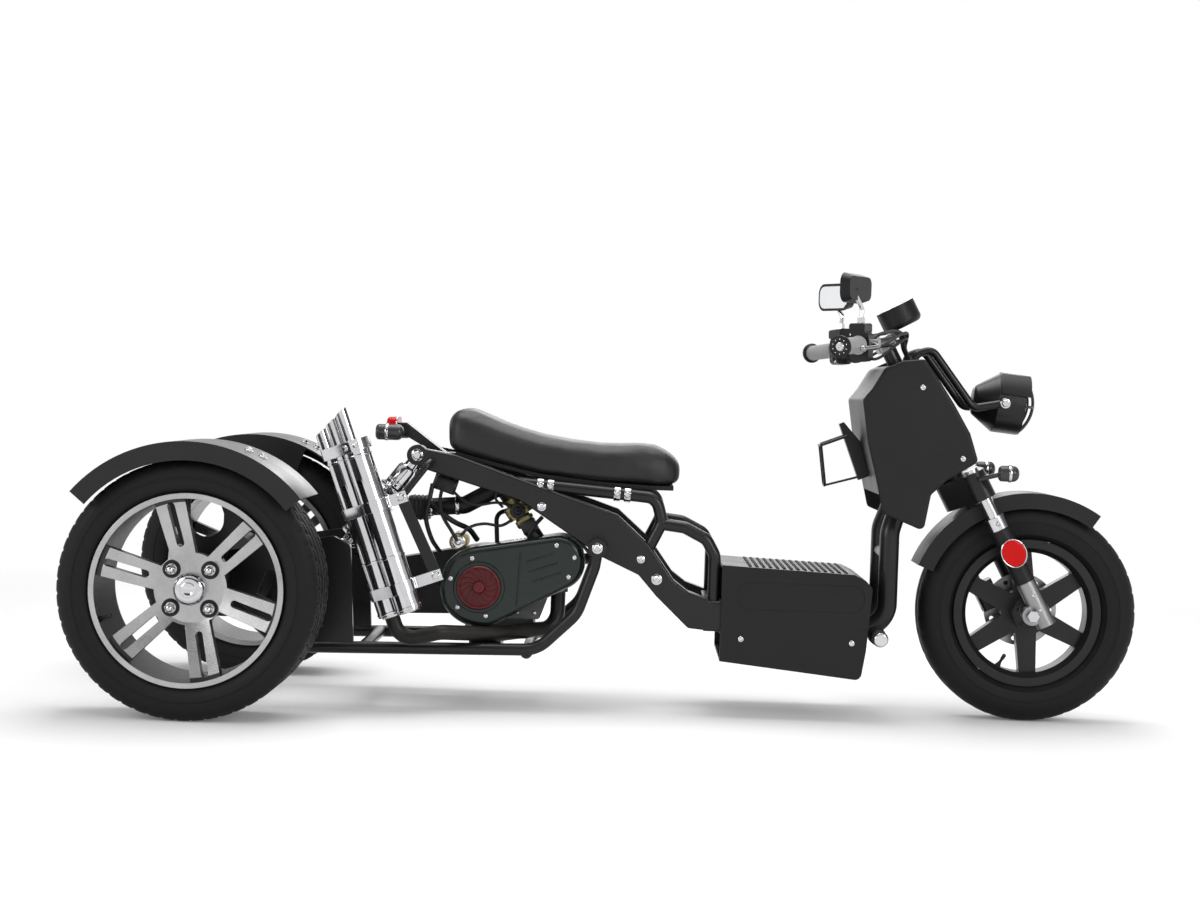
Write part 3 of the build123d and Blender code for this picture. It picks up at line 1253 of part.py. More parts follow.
# Breather hose up to the pan's cross tube, and the ignition lead to the knee's
BREATHER_D = 10.0
with BuildPart() as engine_hoses:
    tube(
        BREATHER_D, 20,
        at_y(aft(590, CRANK[1] + CRANK_R + 9), -20),
        at_y(aft(586, 150), -20),
        at_y(aft(PAN_TUBE[0], PAN_TUBE[1] - 40), 40),
        at_y(aft(PAN_TUBE[0], PAN_TUBE[1] - CROSS_TUBE_D / 2 - SEAT_GAP), 40),
    )
    tube(
        BREATHER_D, 20,
        at_y(aft(HEAD[0] + HEAD_R + SEAT_GAP, HEAD[1]), 0),
        at_y(aft(HEAD[0] + HEAD_R + 20, HEAD[1]), 0),
        at_y(aft(KNEE_TUBE[0] - 72, KNEE_TUBE[1] + 34), 0),
        at_y(aft(KNEE_TUBE[0] - CROSS_TUBE_D / 2 - 22, KNEE_TUBE[1]), 0),
        at_y(aft(KNEE_TUBE[0] - CROSS_TUBE_D / 2 - SEAT_GAP, KNEE_TUBE[1]), 0),
    )
keep(engine_hoses, "engine_hoses")

# Exhaust: two upright mufflers side by side, three slash-cut tips, header below
MUFFLER_D = 56.0
MUFFLER_NEAR_Y = 254.0
MUFFLER_FAR_Y = 217.0
MUFFLER_LOW = (424, -46)
MUFFLER_HIGH = (298, 298)
MUFFLER_SIDE = -43.0
COLLAR_RIM = 6.0
TIP_D = 27.0
TIP_BORE = 22.0
TIP_CUT = 25.0
TIP_DEPTH = 70.0
HEADER_D = 32.0
# tips on the collar: outboard and forward of the near muffler, then height along it
TIPS = ((0, -5, 440), (-24, -34, 427), (-37, -63, 413))
low = Vector(*at_y(aft(*MUFFLER_LOW), -MUFFLER_NEAR_Y))
high = Vector(*at_y(aft(*MUFFLER_HIGH), -MUFFLER_NEAR_Y))
MUFFLER = Plane(origin=low, x_dir=(0, -1, 0), z_dir=high - low)
MUFFLER_L = (high - low).length
twins = ((0, 0), (MUFFLER_FAR_Y - MUFFLER_NEAR_Y, MUFFLER_SIDE))
cut_dir = MUFFLER.z_dir * cos(radians(TIP_CUT)) - MUFFLER.y_dir * sin(radians(TIP_CUT))
cut_long = 1 / cos(radians(TIP_CUT))
with BuildPart() as exhaust:
    with BuildSketch(MUFFLER):
        with Locations(*twins):
            Circle(MUFFLER_D / 2)
    extrude(amount=MUFFLER_L)
    with BuildSketch(MUFFLER.offset(MUFFLER_L - 16)):
        with Locations(*twins):
            Circle(MUFFLER_D / 2 + COLLAR_RIM)
        make_hull()
    extrude(amount=24)
    for tip in TIPS:
        with BuildSketch(Plane(origin=MUFFLER.from_local_coords(tip), x_dir=MUFFLER.x_dir, z_dir=cut_dir)):
            Ellipse(TIP_D / 2, TIP_D / 2 * cut_long)
        extrude(amount=tip[2] - MUFFLER_L, dir=-MUFFLER.z_dir)
    for tip in TIPS:
        with BuildSketch(Plane(origin=MUFFLER.from_local_coords(tip), x_dir=MUFFLER.x_dir, z_dir=cut_dir)):
            Ellipse(TIP_BORE / 2, TIP_BORE / 2 * cut_long)
        extrude(amount=tip[2] - MUFFLER_L, dir=-MUFFLER.z_dir, mode=Mode.SUBTRACT)
keep(exhaust, "exhaust")

with BuildPart() as exhaust_header:
    tube(
        HEADER_D, 40,
        at_y(aft(HEAD[0], PORT_Z), -PORT_Y),
        at_y(aft(HEAD[0], -92), -PORT_Y),
        at_y(aft(600, -102), -140),
        at_y(aft(486, -94), -MUFFLER_FAR_Y + 4),
        tuple(MUFFLER.from_local_coords((*twins[1], -58))),
        tuple(MUFFLER.from_local_coords((*twins[1], -SEAT_GAP))),
    )
keep(exhaust_header, "exhaust_header")

# Clamp bands with ears, and the strap bolted to the ears
CLAMP_H = 24.0
EAR_T = 6.0
EAR_X = -20.0
# bolts of the two bands: forward of the near muffler, height along it
CLAMP_BOLTS = ((74, 50), (56, 229))
with BuildPart() as exhaust_clamps:
    for ear_reach, along in CLAMP_BOLTS:
        with BuildSketch(MUFFLER.offset(along - CLAMP_H / 2)):
            with Locations(*twins):
                Circle(MUFFLER_D / 2 + 3)
            make_hull()
            with Locations((EAR_X, 0)):
                Rectangle(EAR_T, ear_reach + CLAMP_H / 2, align=(Align.CENTER, Align.MIN))
            with Locations(*twins):
                Circle(MUFFLER_D / 2 + PASS_GAP, mode=Mode.SUBTRACT)
        extrude(amount=CLAMP_H)
keep(exhaust_clamps, "exhaust_clamps")

with BuildPart() as exhaust_hanger:
    strap_at = MUFFLER.from_local_coords((EAR_X - EAR_T / 2 - SEAT_GAP, 0, 0))
    with BuildSketch(Plane(origin=strap_at, x_dir=MUFFLER.y_dir, z_dir=-MUFFLER.x_dir)):
        with Locations(*[(ear_reach, -along) for ear_reach, along in CLAMP_BOLTS]):
            Circle(CLAMP_H / 2)
        make_hull()
    extrude(amount=EAR_T)
    strap_top = MUFFLER.from_local_coords((EAR_X - EAR_T - 5.5, *CLAMP_BOLTS[1]))
    tube(14, 16, tuple(strap_top), at_y(aft(452, 263), -200), at_y(aft(452, 263), -RAIL_OUT))
keep(exhaust_hanger, "exhaust_hanger")

# Chrome pegs ahead of the floor box, drink holder behind the shield
with BuildPart() as foot_pegs:
    with BuildSketch(Plane.XZ.offset(PEG_LUG_Y + SEAT_GAP)):
        with Locations(peg_point):
            Circle(PEG_D / 2)
    extrude(amount=78)
    fillet(foot_pegs.faces().sort_by(Axis.Y)[0].edges(), 4)
    mirror(about=Plane.XZ)
keep(foot_pegs, "foot_pegs")

HOLDER_D = 6.0
HOLDER_ROD_D = 5.0
HOLDER_Y = 34.0
HOLDER_FOOT_Y = 20.0
HOLDER_PLATE_W = 24.0
# side view of the holder's back plate, from the steering head's low end: x, z
HOLDER_PLATE = (
    (SHIELD[-1][0] - SEAT_GAP, SHIELD[-1][1]), (SHIELD[-2][0] - SEAT_GAP, SHIELD[-2][1]),
    (-204, -10), (-250, 112), (-240, 116),
)
with BuildPart() as drink_holder:
    with BuildSketch(Plane.XZ.offset(-HOLDER_PLATE_W / 2)):
        with BuildLine():
            Polyline(*[head(*p) for p in HOLDER_PLATE], close=True)
        make_face()
    extrude(amount=HOLDER_PLATE_W)
    tube(HOLDER_D, 0, at_y(head(-234, 86), -HOLDER_Y), at_y(head(-234, 86), HOLDER_Y))
    tube(
        HOLDER_D, 12,
        at_y(head(-234, 86), -HOLDER_Y),
        at_y(head(-290, 64), -HOLDER_Y),
        at_y(head(-290, 64), HOLDER_Y),
        at_y(head(-234, 86), HOLDER_Y),
    )
    tube(
        HOLDER_D, 12,
        at_y(head(-289, 65), -HOLDER_FOOT_Y),
        at_y(head(-277, -24), -HOLDER_FOOT_Y),
        at_y(head(-277, -24), HOLDER_FOOT_Y),
        at_y(head(-289, 65), HOLDER_FOOT_Y),
    )
    tube(HOLDER_ROD_D, 0, at_y(head(-277, -24), 0), at_y(head(-200, -2), 0))
keep(drink_holder, "drink_holder")
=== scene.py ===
"""Dress of a three-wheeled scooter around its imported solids: finishes, seat, tyres, fasteners and studio."""
from __future__ import annotations

import logging
import math
import sys
from dataclasses import dataclass, field
from enum import Enum
from typing import Callable, Sequence

import bmesh
import bpy
from mathutils import Matrix, Vector

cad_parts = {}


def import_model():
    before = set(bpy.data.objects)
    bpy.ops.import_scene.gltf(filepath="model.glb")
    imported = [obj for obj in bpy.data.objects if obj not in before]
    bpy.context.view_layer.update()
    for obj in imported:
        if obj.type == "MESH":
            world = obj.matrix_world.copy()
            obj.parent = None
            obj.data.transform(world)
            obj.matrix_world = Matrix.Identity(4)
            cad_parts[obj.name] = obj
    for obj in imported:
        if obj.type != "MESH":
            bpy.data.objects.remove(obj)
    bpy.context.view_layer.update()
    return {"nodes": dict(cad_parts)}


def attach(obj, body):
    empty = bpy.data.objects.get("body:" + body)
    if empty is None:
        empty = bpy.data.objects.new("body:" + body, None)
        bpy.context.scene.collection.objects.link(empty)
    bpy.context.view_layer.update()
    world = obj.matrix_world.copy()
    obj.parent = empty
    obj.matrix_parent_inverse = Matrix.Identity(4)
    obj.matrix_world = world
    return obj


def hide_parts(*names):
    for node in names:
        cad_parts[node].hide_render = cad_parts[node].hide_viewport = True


LOG = logging.getLogger("trike")
MM = 0.001
FLOAT = "NodeSocketFloat"
VECTOR = "NodeSocketVector"
Colour = tuple[float, float, float]


class Body(Enum):
    """The bodies of the part that a piece can ride on."""

    CHASSIS = "chassis"
    STEERING = "steering"
    FRONT_WHEEL = "front_wheel"
    REAR_RIGHT = "rear_wheel_right"
    REAR_LEFT = "rear_wheel_left"


class Side(Enum):
    """Right and left side of the vehicle, as the sign of Y."""

    RIGHT = -1
    LEFT = 1

    @property
    def tag(self) -> str:
        """Ending of the names of pieces on this side."""
        return self.name.lower()

    @property
    def out(self) -> Vector:
        """Direction away from the middle."""
        return Vector((0, self.value, 0))

    @property
    def wheel(self) -> Body:
        """Body of the rear wheel on this side."""
        return Body.REAR_RIGHT if self is Side.RIGHT else Body.REAR_LEFT


@dataclass(frozen=True)
class Stance:
    """Where the axles and the raked fork stand, in millimetres."""

    wheelbase: float = 1749.0
    front_r: float = 236.0
    rear_r: float = 262.0
    rake: float = 28.0
    rear_y: float = 398.0
    head_u: float = -16.0
    head_w: float = 332.0

    @property
    def half(self) -> float:
        """Half of the overall length."""
        return (self.wheelbase + self.front_r + self.rear_r) / 2

    @property
    def fork_up(self) -> Vector:
        """Direction up along the fork."""
        return Vector((-math.sin(math.radians(self.rake)), 0, math.cos(math.radians(self.rake))))

    @property
    def fork_ahead(self) -> Vector:
        """Direction ahead, square to the fork."""
        return Vector((math.cos(math.radians(self.rake)), 0, math.sin(math.radians(self.rake))))

    def rear_axle(self, side: Side) -> Vector:
        """Centre of the rear wheel on one side, in metres."""
        return self.aft(0, side.value * self.rear_y, 0)

    def aft(self, x: float, y: float, z: float) -> Vector:
        """Place a point that is given from the rear axle.

        Args:
            x: forward of the rear axle.
            y: to the left of the middle.
            z: above the rear axle.

        Returns:
            The point in metres.
        """
        return Vector((self.rear_r - self.half + x, y, self.rear_r + z)) * MM

    def fore(self, x: float, y: float, z: float) -> Vector:
        """Place a point that is given from the front axle.

        Args:
            x: forward of the front axle.
            y: to the left of the middle.
            z: above the front axle.

        Returns:
            The point in metres.
        """
        return Vector((self.half - self.front_r + x, y, self.front_r + z)) * MM

    def fork(self, u: float, y: float, w: float) -> Vector:
        """Place a point that is given across, beside and along the raked fork.

        Args:
            u: forward of the fork's line through the axle.
            y: to the left of the middle.
            w: up along the fork from the axle.

        Returns:
            The point in metres.
        """
        c, s = math.cos(math.radians(self.rake)), math.sin(math.radians(self.rake))
        return self.fore(u * c - w * s, y, u * s + w * c)

    def head(self, x: float, y: float, z: float) -> Vector:
        """Place a point that is given from the steering head.

        Args:
            x: forward of the head's lower bearing.
            y: to the left of the middle.
            z: above the head's lower bearing.

        Returns:
            The point in metres.
        """
        return self.fork(self.head_u, 0.0, self.head_w) + Vector((x, y, z)) * MM


STANCE = Stance()


# Shared shader effects


def _group(name: str, inputs: Sequence[tuple[str, float]],
           outputs: Sequence[tuple[str, str]]) -> bpy.types.NodeTree:
    """Make an empty shader node group with named sockets.

    Args:
        name: name of the group.
        inputs: name and default of each float input.
        outputs: name and kind of each output.

    Returns:
        The group's node tree, with its input and output nodes.
    """
    tree = bpy.data.node_groups.new(name, "ShaderNodeTree")
    for label, default in inputs:
        socket = tree.interface.new_socket(label, in_out="INPUT", socket_type=FLOAT)
        socket.default_value = default
    for label, kind in outputs:
        tree.interface.new_socket(label, in_out="OUTPUT", socket_type=kind)
    tree.nodes.new("NodeGroupInput").name = "in"
    tree.nodes.new("NodeGroupOutput").name = "out"
    return tree


def _node(tree: bpy.types.NodeTree, kind: str, **values: object) -> bpy.types.Node:
    """Add a node and set its properties.

    Args:
        tree: node tree that takes the node.
        kind: Blender's node type.
        values: properties of the node by name.

    Returns:
        The new node.
    """
    node = tree.nodes.new(kind)
    for key, value in values.items():
        setattr(node, key, value)
    return node


def _set(node: bpy.types.Node, **values: float | Sequence[float]) -> bpy.types.Node:
    """Set inputs of a node.

    Args:
        node: the node.
        values: value of each input by name, with an underscore for a space.

    Returns:
        The same node.
    """
    for key, value in values.items():
        node.inputs[key.replace("_", " ")].default_value = value
    return node


def _math(tree: bpy.types.NodeTree, operation: str, *values: bpy.types.NodeSocket | float,
          clamp: bool = False) -> bpy.types.NodeSocket:
    """Add a math node.

    Args:
        tree: node tree that takes the node.
        operation: Blender's name of the operation.
        values: a socket or a number for each input, in order.
        clamp: keep the result between 0 and 1.

    Returns:
        The result's socket.
    """
    node = _node(tree, "ShaderNodeMath", operation=operation, use_clamp=clamp)
    for socket, value in zip(node.inputs, values):
        if isinstance(value, bpy.types.NodeSocket):
            tree.links.new(value, socket)
        else:
            socket.default_value = value
    return node.outputs[0]


def _noise(tree: bpy.types.NodeTree, **values: float) -> bpy.types.Node:
    """Add a noise that is fixed to the object.

    Args:
        tree: node tree that takes the nodes.
        values: value of each input by name.

    Returns:
        The noise node.
    """
    noise = _set(_node(tree, "ShaderNodeTexNoise"), **values)
    tree.links.new(_node(tree, "ShaderNodeTexCoord").outputs["Object"], noise.inputs["Vector"])
    return noise


class Effects:
    """The shader node groups that several finishes share."""

    def __init__(self) -> None:
        """Build each group once."""
        self.grain = self._grain()
        self.mottle = self._mottle()
        self.edges = self._edges_and_highlight()
        self.dust = self._dust()
        self.brushed = self._brushed()

    @staticmethod
    def _grain() -> bpy.types.NodeTree:
        """Fine moulded or cast grain, as a height."""
        tree = _group("surface_grain", (("Scale", 900.0), ("Softness", 0.5)), (("Height", FLOAT),))
        link, put, out = tree.links.new, tree.nodes["in"], tree.nodes["out"]
        noise = _noise(tree, Detail=3.0)
        cells = _node(tree, "ShaderNodeTexVoronoi")
        link(_node(tree, "ShaderNodeTexCoord").outputs["Object"], cells.inputs["Vector"])
        for texture in (noise, cells):
            link(put.outputs["Scale"], texture.inputs["Scale"])
        link(put.outputs["Softness"], noise.inputs["Roughness"])
        height = _math(tree, "MULTIPLY_ADD", cells.outputs["Distance"], 0.5, noise.outputs["Fac"])
        link(height, out.inputs["Height"])
        return tree

    @staticmethod
    def _mottle() -> bpy.types.NodeTree:
        """Slow change of tone over a surface, as a mask."""
        tree = _group("tone_mottle", (("Scale", 8.0), ("Contrast", 0.5)), (("Mask", FLOAT),))
        link, put, out = tree.links.new, tree.nodes["in"], tree.nodes["out"]
        noise = _noise(tree, Detail=6.0, Roughness=0.62)
        link(put.outputs["Scale"], noise.inputs["Scale"])
        off = _math(tree, "SUBTRACT", noise.outputs["Fac"], 0.5)
        gain = _math(tree, "MULTIPLY", put.outputs["Contrast"], 3.2)
        link(_math(tree, "MULTIPLY_ADD", off, gain, 0.5, clamp=True), out.inputs["Mask"])
        return tree

    @staticmethod
    def _edges_and_highlight() -> bpy.types.NodeTree:
        """Softened edges: a rounded normal, and a mask for rubbed wear and a painted highlight along the
        edges.
        """
        tree = _group("soft_edges_and_highlight", (("Radius", 0.002), ("Amount", 0.5)),
                      (("Mask", FLOAT), ("Normal", VECTOR)))
        link, put, out = tree.links.new, tree.nodes["in"], tree.nodes["out"]
        rounded = _node(tree, "ShaderNodeBevel", samples=4)
        link(put.outputs["Radius"], rounded.inputs["Radius"])
        bend = _node(tree, "ShaderNodeVectorMath", operation="DOT_PRODUCT")
        link(rounded.outputs["Normal"], bend.inputs[0])
        link(_node(tree, "ShaderNodeNewGeometry").outputs["Normal"], bend.inputs[1])
        band = _set(_node(tree, "ShaderNodeMapRange"), From_Min=0.985, From_Max=0.80)
        link(bend.outputs["Value"], band.inputs["Value"])
        broken = _noise(tree, Scale=140.0, Detail=4.0)
        # the mask lightens the edges: partly rubbed wear, partly a painted highlight
        rub_and_highlight = _math(tree, "MULTIPLY", band.outputs["Result"], broken.outputs["Fac"])
        link(_math(tree, "MULTIPLY", rub_and_highlight, put.outputs["Amount"], clamp=True), out.inputs["Mask"])
        link(rounded.outputs["Normal"], out.inputs["Normal"])
        return tree

    @staticmethod
    def _dust() -> bpy.types.NodeTree:
        """Thin dust on faces that look up, as a mask."""
        tree = _group("settled_dust", (("Amount", 0.3),), (("Mask", FLOAT),))
        link, put, out = tree.links.new, tree.nodes["in"], tree.nodes["out"]
        split = _node(tree, "ShaderNodeSeparateXYZ")
        link(_node(tree, "ShaderNodeNewGeometry").outputs["Normal"], split.inputs[0])
        level = _set(_node(tree, "ShaderNodeMapRange"), From_Min=0.1, From_Max=1.0)
        link(split.outputs["Z"], level.inputs["Value"])
        noise = _noise(tree, Scale=60.0, Detail=8.0)
        speck = _math(tree, "MULTIPLY", level.outputs["Result"], noise.outputs["Fac"])
        link(_math(tree, "MULTIPLY", speck, put.outputs["Amount"], clamp=True), out.inputs["Mask"])
        return tree

    @staticmethod
    def _brushed() -> bpy.types.NodeTree:
        """Fine level tool lines, as a mask and a height."""
        tree = _group("tool_lines", (("Scale", 60.0), ("Stretch", 30.0)),
                      (("Mask", FLOAT), ("Height", FLOAT)))
        link, put, out = tree.links.new, tree.nodes["in"], tree.nodes["out"]
        split = _node(tree, "ShaderNodeSeparateXYZ")
        link(_node(tree, "ShaderNodeTexCoord").outputs["Object"], split.inputs[0])
        drawn = _node(tree, "ShaderNodeCombineXYZ")
        for axis in ("X", "Y"):
            link(split.outputs[axis], drawn.inputs[axis])
        link(_math(tree, "MULTIPLY", split.outputs["Z"], put.outputs["Stretch"]), drawn.inputs["Z"])
        noise = _set(_node(tree, "ShaderNodeTexNoise"), Detail=4.0)
        link(drawn.outputs[0], noise.inputs["Vector"])
        link(put.outputs["Scale"], noise.inputs["Scale"])
        for name in ("Mask", "Height"):
            link(noise.outputs["Fac"], out.inputs[name])
        return tree


# Finishes


@dataclass(frozen=True)
class Finish:
    """One surface finish, with the values that it gives to the shared effects."""

    name: str
    colour: Colour
    second: Colour
    metallic: float = 0.0
    rough_low: float = 0.3
    rough_high: float = 0.45
    grain: float = 900.0
    depth: float = 0.08
    mottle: float = 9.0
    edge_r: float = 0.0015
    # how much the edges turn lighter, and their colour: partly rubbed wear, partly a painted highlight
    edge_wear_and_highlight: float = 0.4
    edge_wear_and_highlight_colour: Colour = (0.18, 0.18, 0.185)
    dust: float = 0.12
    dust_colour: Colour = (0.30, 0.29, 0.27)
    coat: float = 0.0
    coat_rough: float = 0.08
    lines: float = 0.0
    specular: float = 0.5
    relief: float = 0.0006

    def build(self, effects: Effects) -> bpy.types.Material:
        """Make the material.

        Args:
            effects: the shared node groups.

        Returns:
            The finished material.
        """
        material = bpy.data.materials.new(self.name)
        material.use_nodes = True
        tree = material.node_tree
        shader = tree.nodes["Principled BSDF"]
        link = tree.links.new
        grain = self._place(tree, effects.grain, Scale=self.grain)
        tone = self._place(tree, effects.mottle, Scale=self.mottle)
        edge = self._place(tree, effects.edges, Radius=self.edge_r, Amount=self.edge_wear_and_highlight)
        dust = self._place(tree, effects.dust, Amount=self.dust)
        colour = self._mix(tree, self.colour, self.second, tone.outputs["Mask"])
        # lighter edges: partly rubbed wear, partly a painted highlight
        colour = self._mix(tree, colour, self.edge_wear_and_highlight_colour, edge.outputs["Mask"])
        colour = self._mix(tree, colour, self.dust_colour, dust.outputs["Mask"])
        height = grain.outputs["Height"]
        rough_by = tone.outputs["Mask"]
        if self.lines > 0.0:
            lines = self._place(tree, effects.brushed, Scale=self.lines)
            rough_by = lines.outputs["Mask"]
            height = lines.outputs["Height"]
        link(colour, shader.inputs["Base Color"])
        rough = _set(_node(tree, "ShaderNodeMapRange"), To_Min=self.rough_low, To_Max=self.rough_high)
        link(rough_by, rough.inputs["Value"])
        link(rough.outputs["Result"], shader.inputs["Roughness"])
        bump = _set(_node(tree, "ShaderNodeBump"), Strength=self.depth, Distance=self.relief)
        link(height, bump.inputs["Height"])
        link(edge.outputs["Normal"], bump.inputs["Normal"])
        link(bump.outputs["Normal"], shader.inputs["Normal"])
        _set(shader, Metallic=self.metallic, Coat_Weight=self.coat, Coat_Roughness=self.coat_rough,
             Specular_IOR_Level=self.specular)
        self.refine(tree, shader)
        return material

    def refine(self, tree: bpy.types.NodeTree, shader: bpy.types.Node) -> None:
        """Leave the plain finish as it is; special finishes add to it here."""

    @staticmethod
    def _place(tree: bpy.types.NodeTree, group: bpy.types.NodeTree, **values: float) -> bpy.types.Node:
        """Place a shared effect with its own values.

        Args:
            tree: the material's node tree.
            group: the effect.
            values: value of each input by name.

        Returns:
            The group node.
        """
        return _set(_node(tree, "ShaderNodeGroup", node_tree=group), **values)

    @staticmethod
    def _mix(tree: bpy.types.NodeTree, low: object, high: object,
             mask: bpy.types.NodeSocket) -> bpy.types.NodeSocket:
        """Mix two colours by a mask.

        Args:
            tree: the material's node tree.
            low: colour or socket where the mask is 0.
            high: colour or socket where the mask is 1.
            mask: socket of the mask.

        Returns:
            The mixed colour's socket.
        """
        mix = _node(tree, "ShaderNodeMix", data_type="RGBA")
        for socket, value in ((mix.inputs[6], low), (mix.inputs[7], high)):
            if isinstance(value, bpy.types.NodeSocket):
                tree.links.new(value, socket)
            else:
                socket.default_value = (*value, 1.0)
        tree.links.new(mask, mix.inputs[0])
        return mix.outputs[2]


@dataclass(frozen=True)
class WheelFinish(Finish):
    """Wide rear wheel: machined spoke faces and lip, black barrel."""

    axle: tuple[float, float, float] = (0.0, 0.0, 0.0)
    barrel_r: float = 0.1765
    lip_y: float = 0.0955
    black: Colour = (0.006, 0.006, 0.0065)
    # how far a surface may turn from the wheel's axis: still a face, already a wall
    face_turn: float = 0.75
    wall_turn: float = 0.55

    def refine(self, tree: bpy.types.NodeTree, shader: bpy.types.Node) -> None:
        """Paint the barrel black, and leave the spokes' faces and the lip bright.

        Args:
            tree: the material's node tree.
            shader: its shader.
        """
        link = tree.links.new
        place = _node(tree, "ShaderNodeTexCoord")
        off = _node(tree, "ShaderNodeVectorMath", operation="SUBTRACT")
        off.inputs[1].default_value = self.axle
        link(place.outputs["Object"], off.inputs[0])
        split = _node(tree, "ShaderNodeSeparateXYZ")
        link(off.outputs[0], split.inputs[0])
        flat = _node(tree, "ShaderNodeCombineXYZ")
        for axis in ("X", "Z"):
            link(split.outputs[axis], flat.inputs[axis])
        radius = _node(tree, "ShaderNodeVectorMath", operation="LENGTH")
        link(flat.outputs[0], radius.inputs[0])
        outer = _math(tree, "GREATER_THAN", radius.outputs["Value"], self.barrel_r)
        inside = _math(tree, "LESS_THAN", _math(tree, "ABSOLUTE", split.outputs["Y"]), self.lip_y)
        barrel = _math(tree, "MULTIPLY", outer, inside)
        facing = _node(tree, "ShaderNodeSeparateXYZ")
        link(place.outputs["Normal"], facing.inputs[0])
        walls = _set(_node(tree, "ShaderNodeMapRange"), From_Min=self.face_turn, From_Max=self.wall_turn)
        link(_math(tree, "ABSOLUTE", facing.outputs["Y"]), walls.inputs["Value"])
        dark = _math(tree, "MAXIMUM", barrel, walls.outputs["Result"], clamp=True)
        old = shader.inputs["Base Color"].links[0].from_socket
        link(self._mix(tree, old, self.black, dark), shader.inputs["Base Color"])
        link(_math(tree, "SUBTRACT", 1.0, dark), shader.inputs["Metallic"])


@dataclass(frozen=True)
class LensFinish(Finish):
    """Coloured or clear lens: light passes through it a little."""

    through: float = 0.6
    ior: float = 1.49

    def refine(self, tree: bpy.types.NodeTree, shader: bpy.types.Node) -> None:
        """Let light through the lens.

        Args:
            tree: the material's node tree; not used.
            shader: its shader.
        """
        _set(shader, Transmission_Weight=self.through, IOR=self.ior)


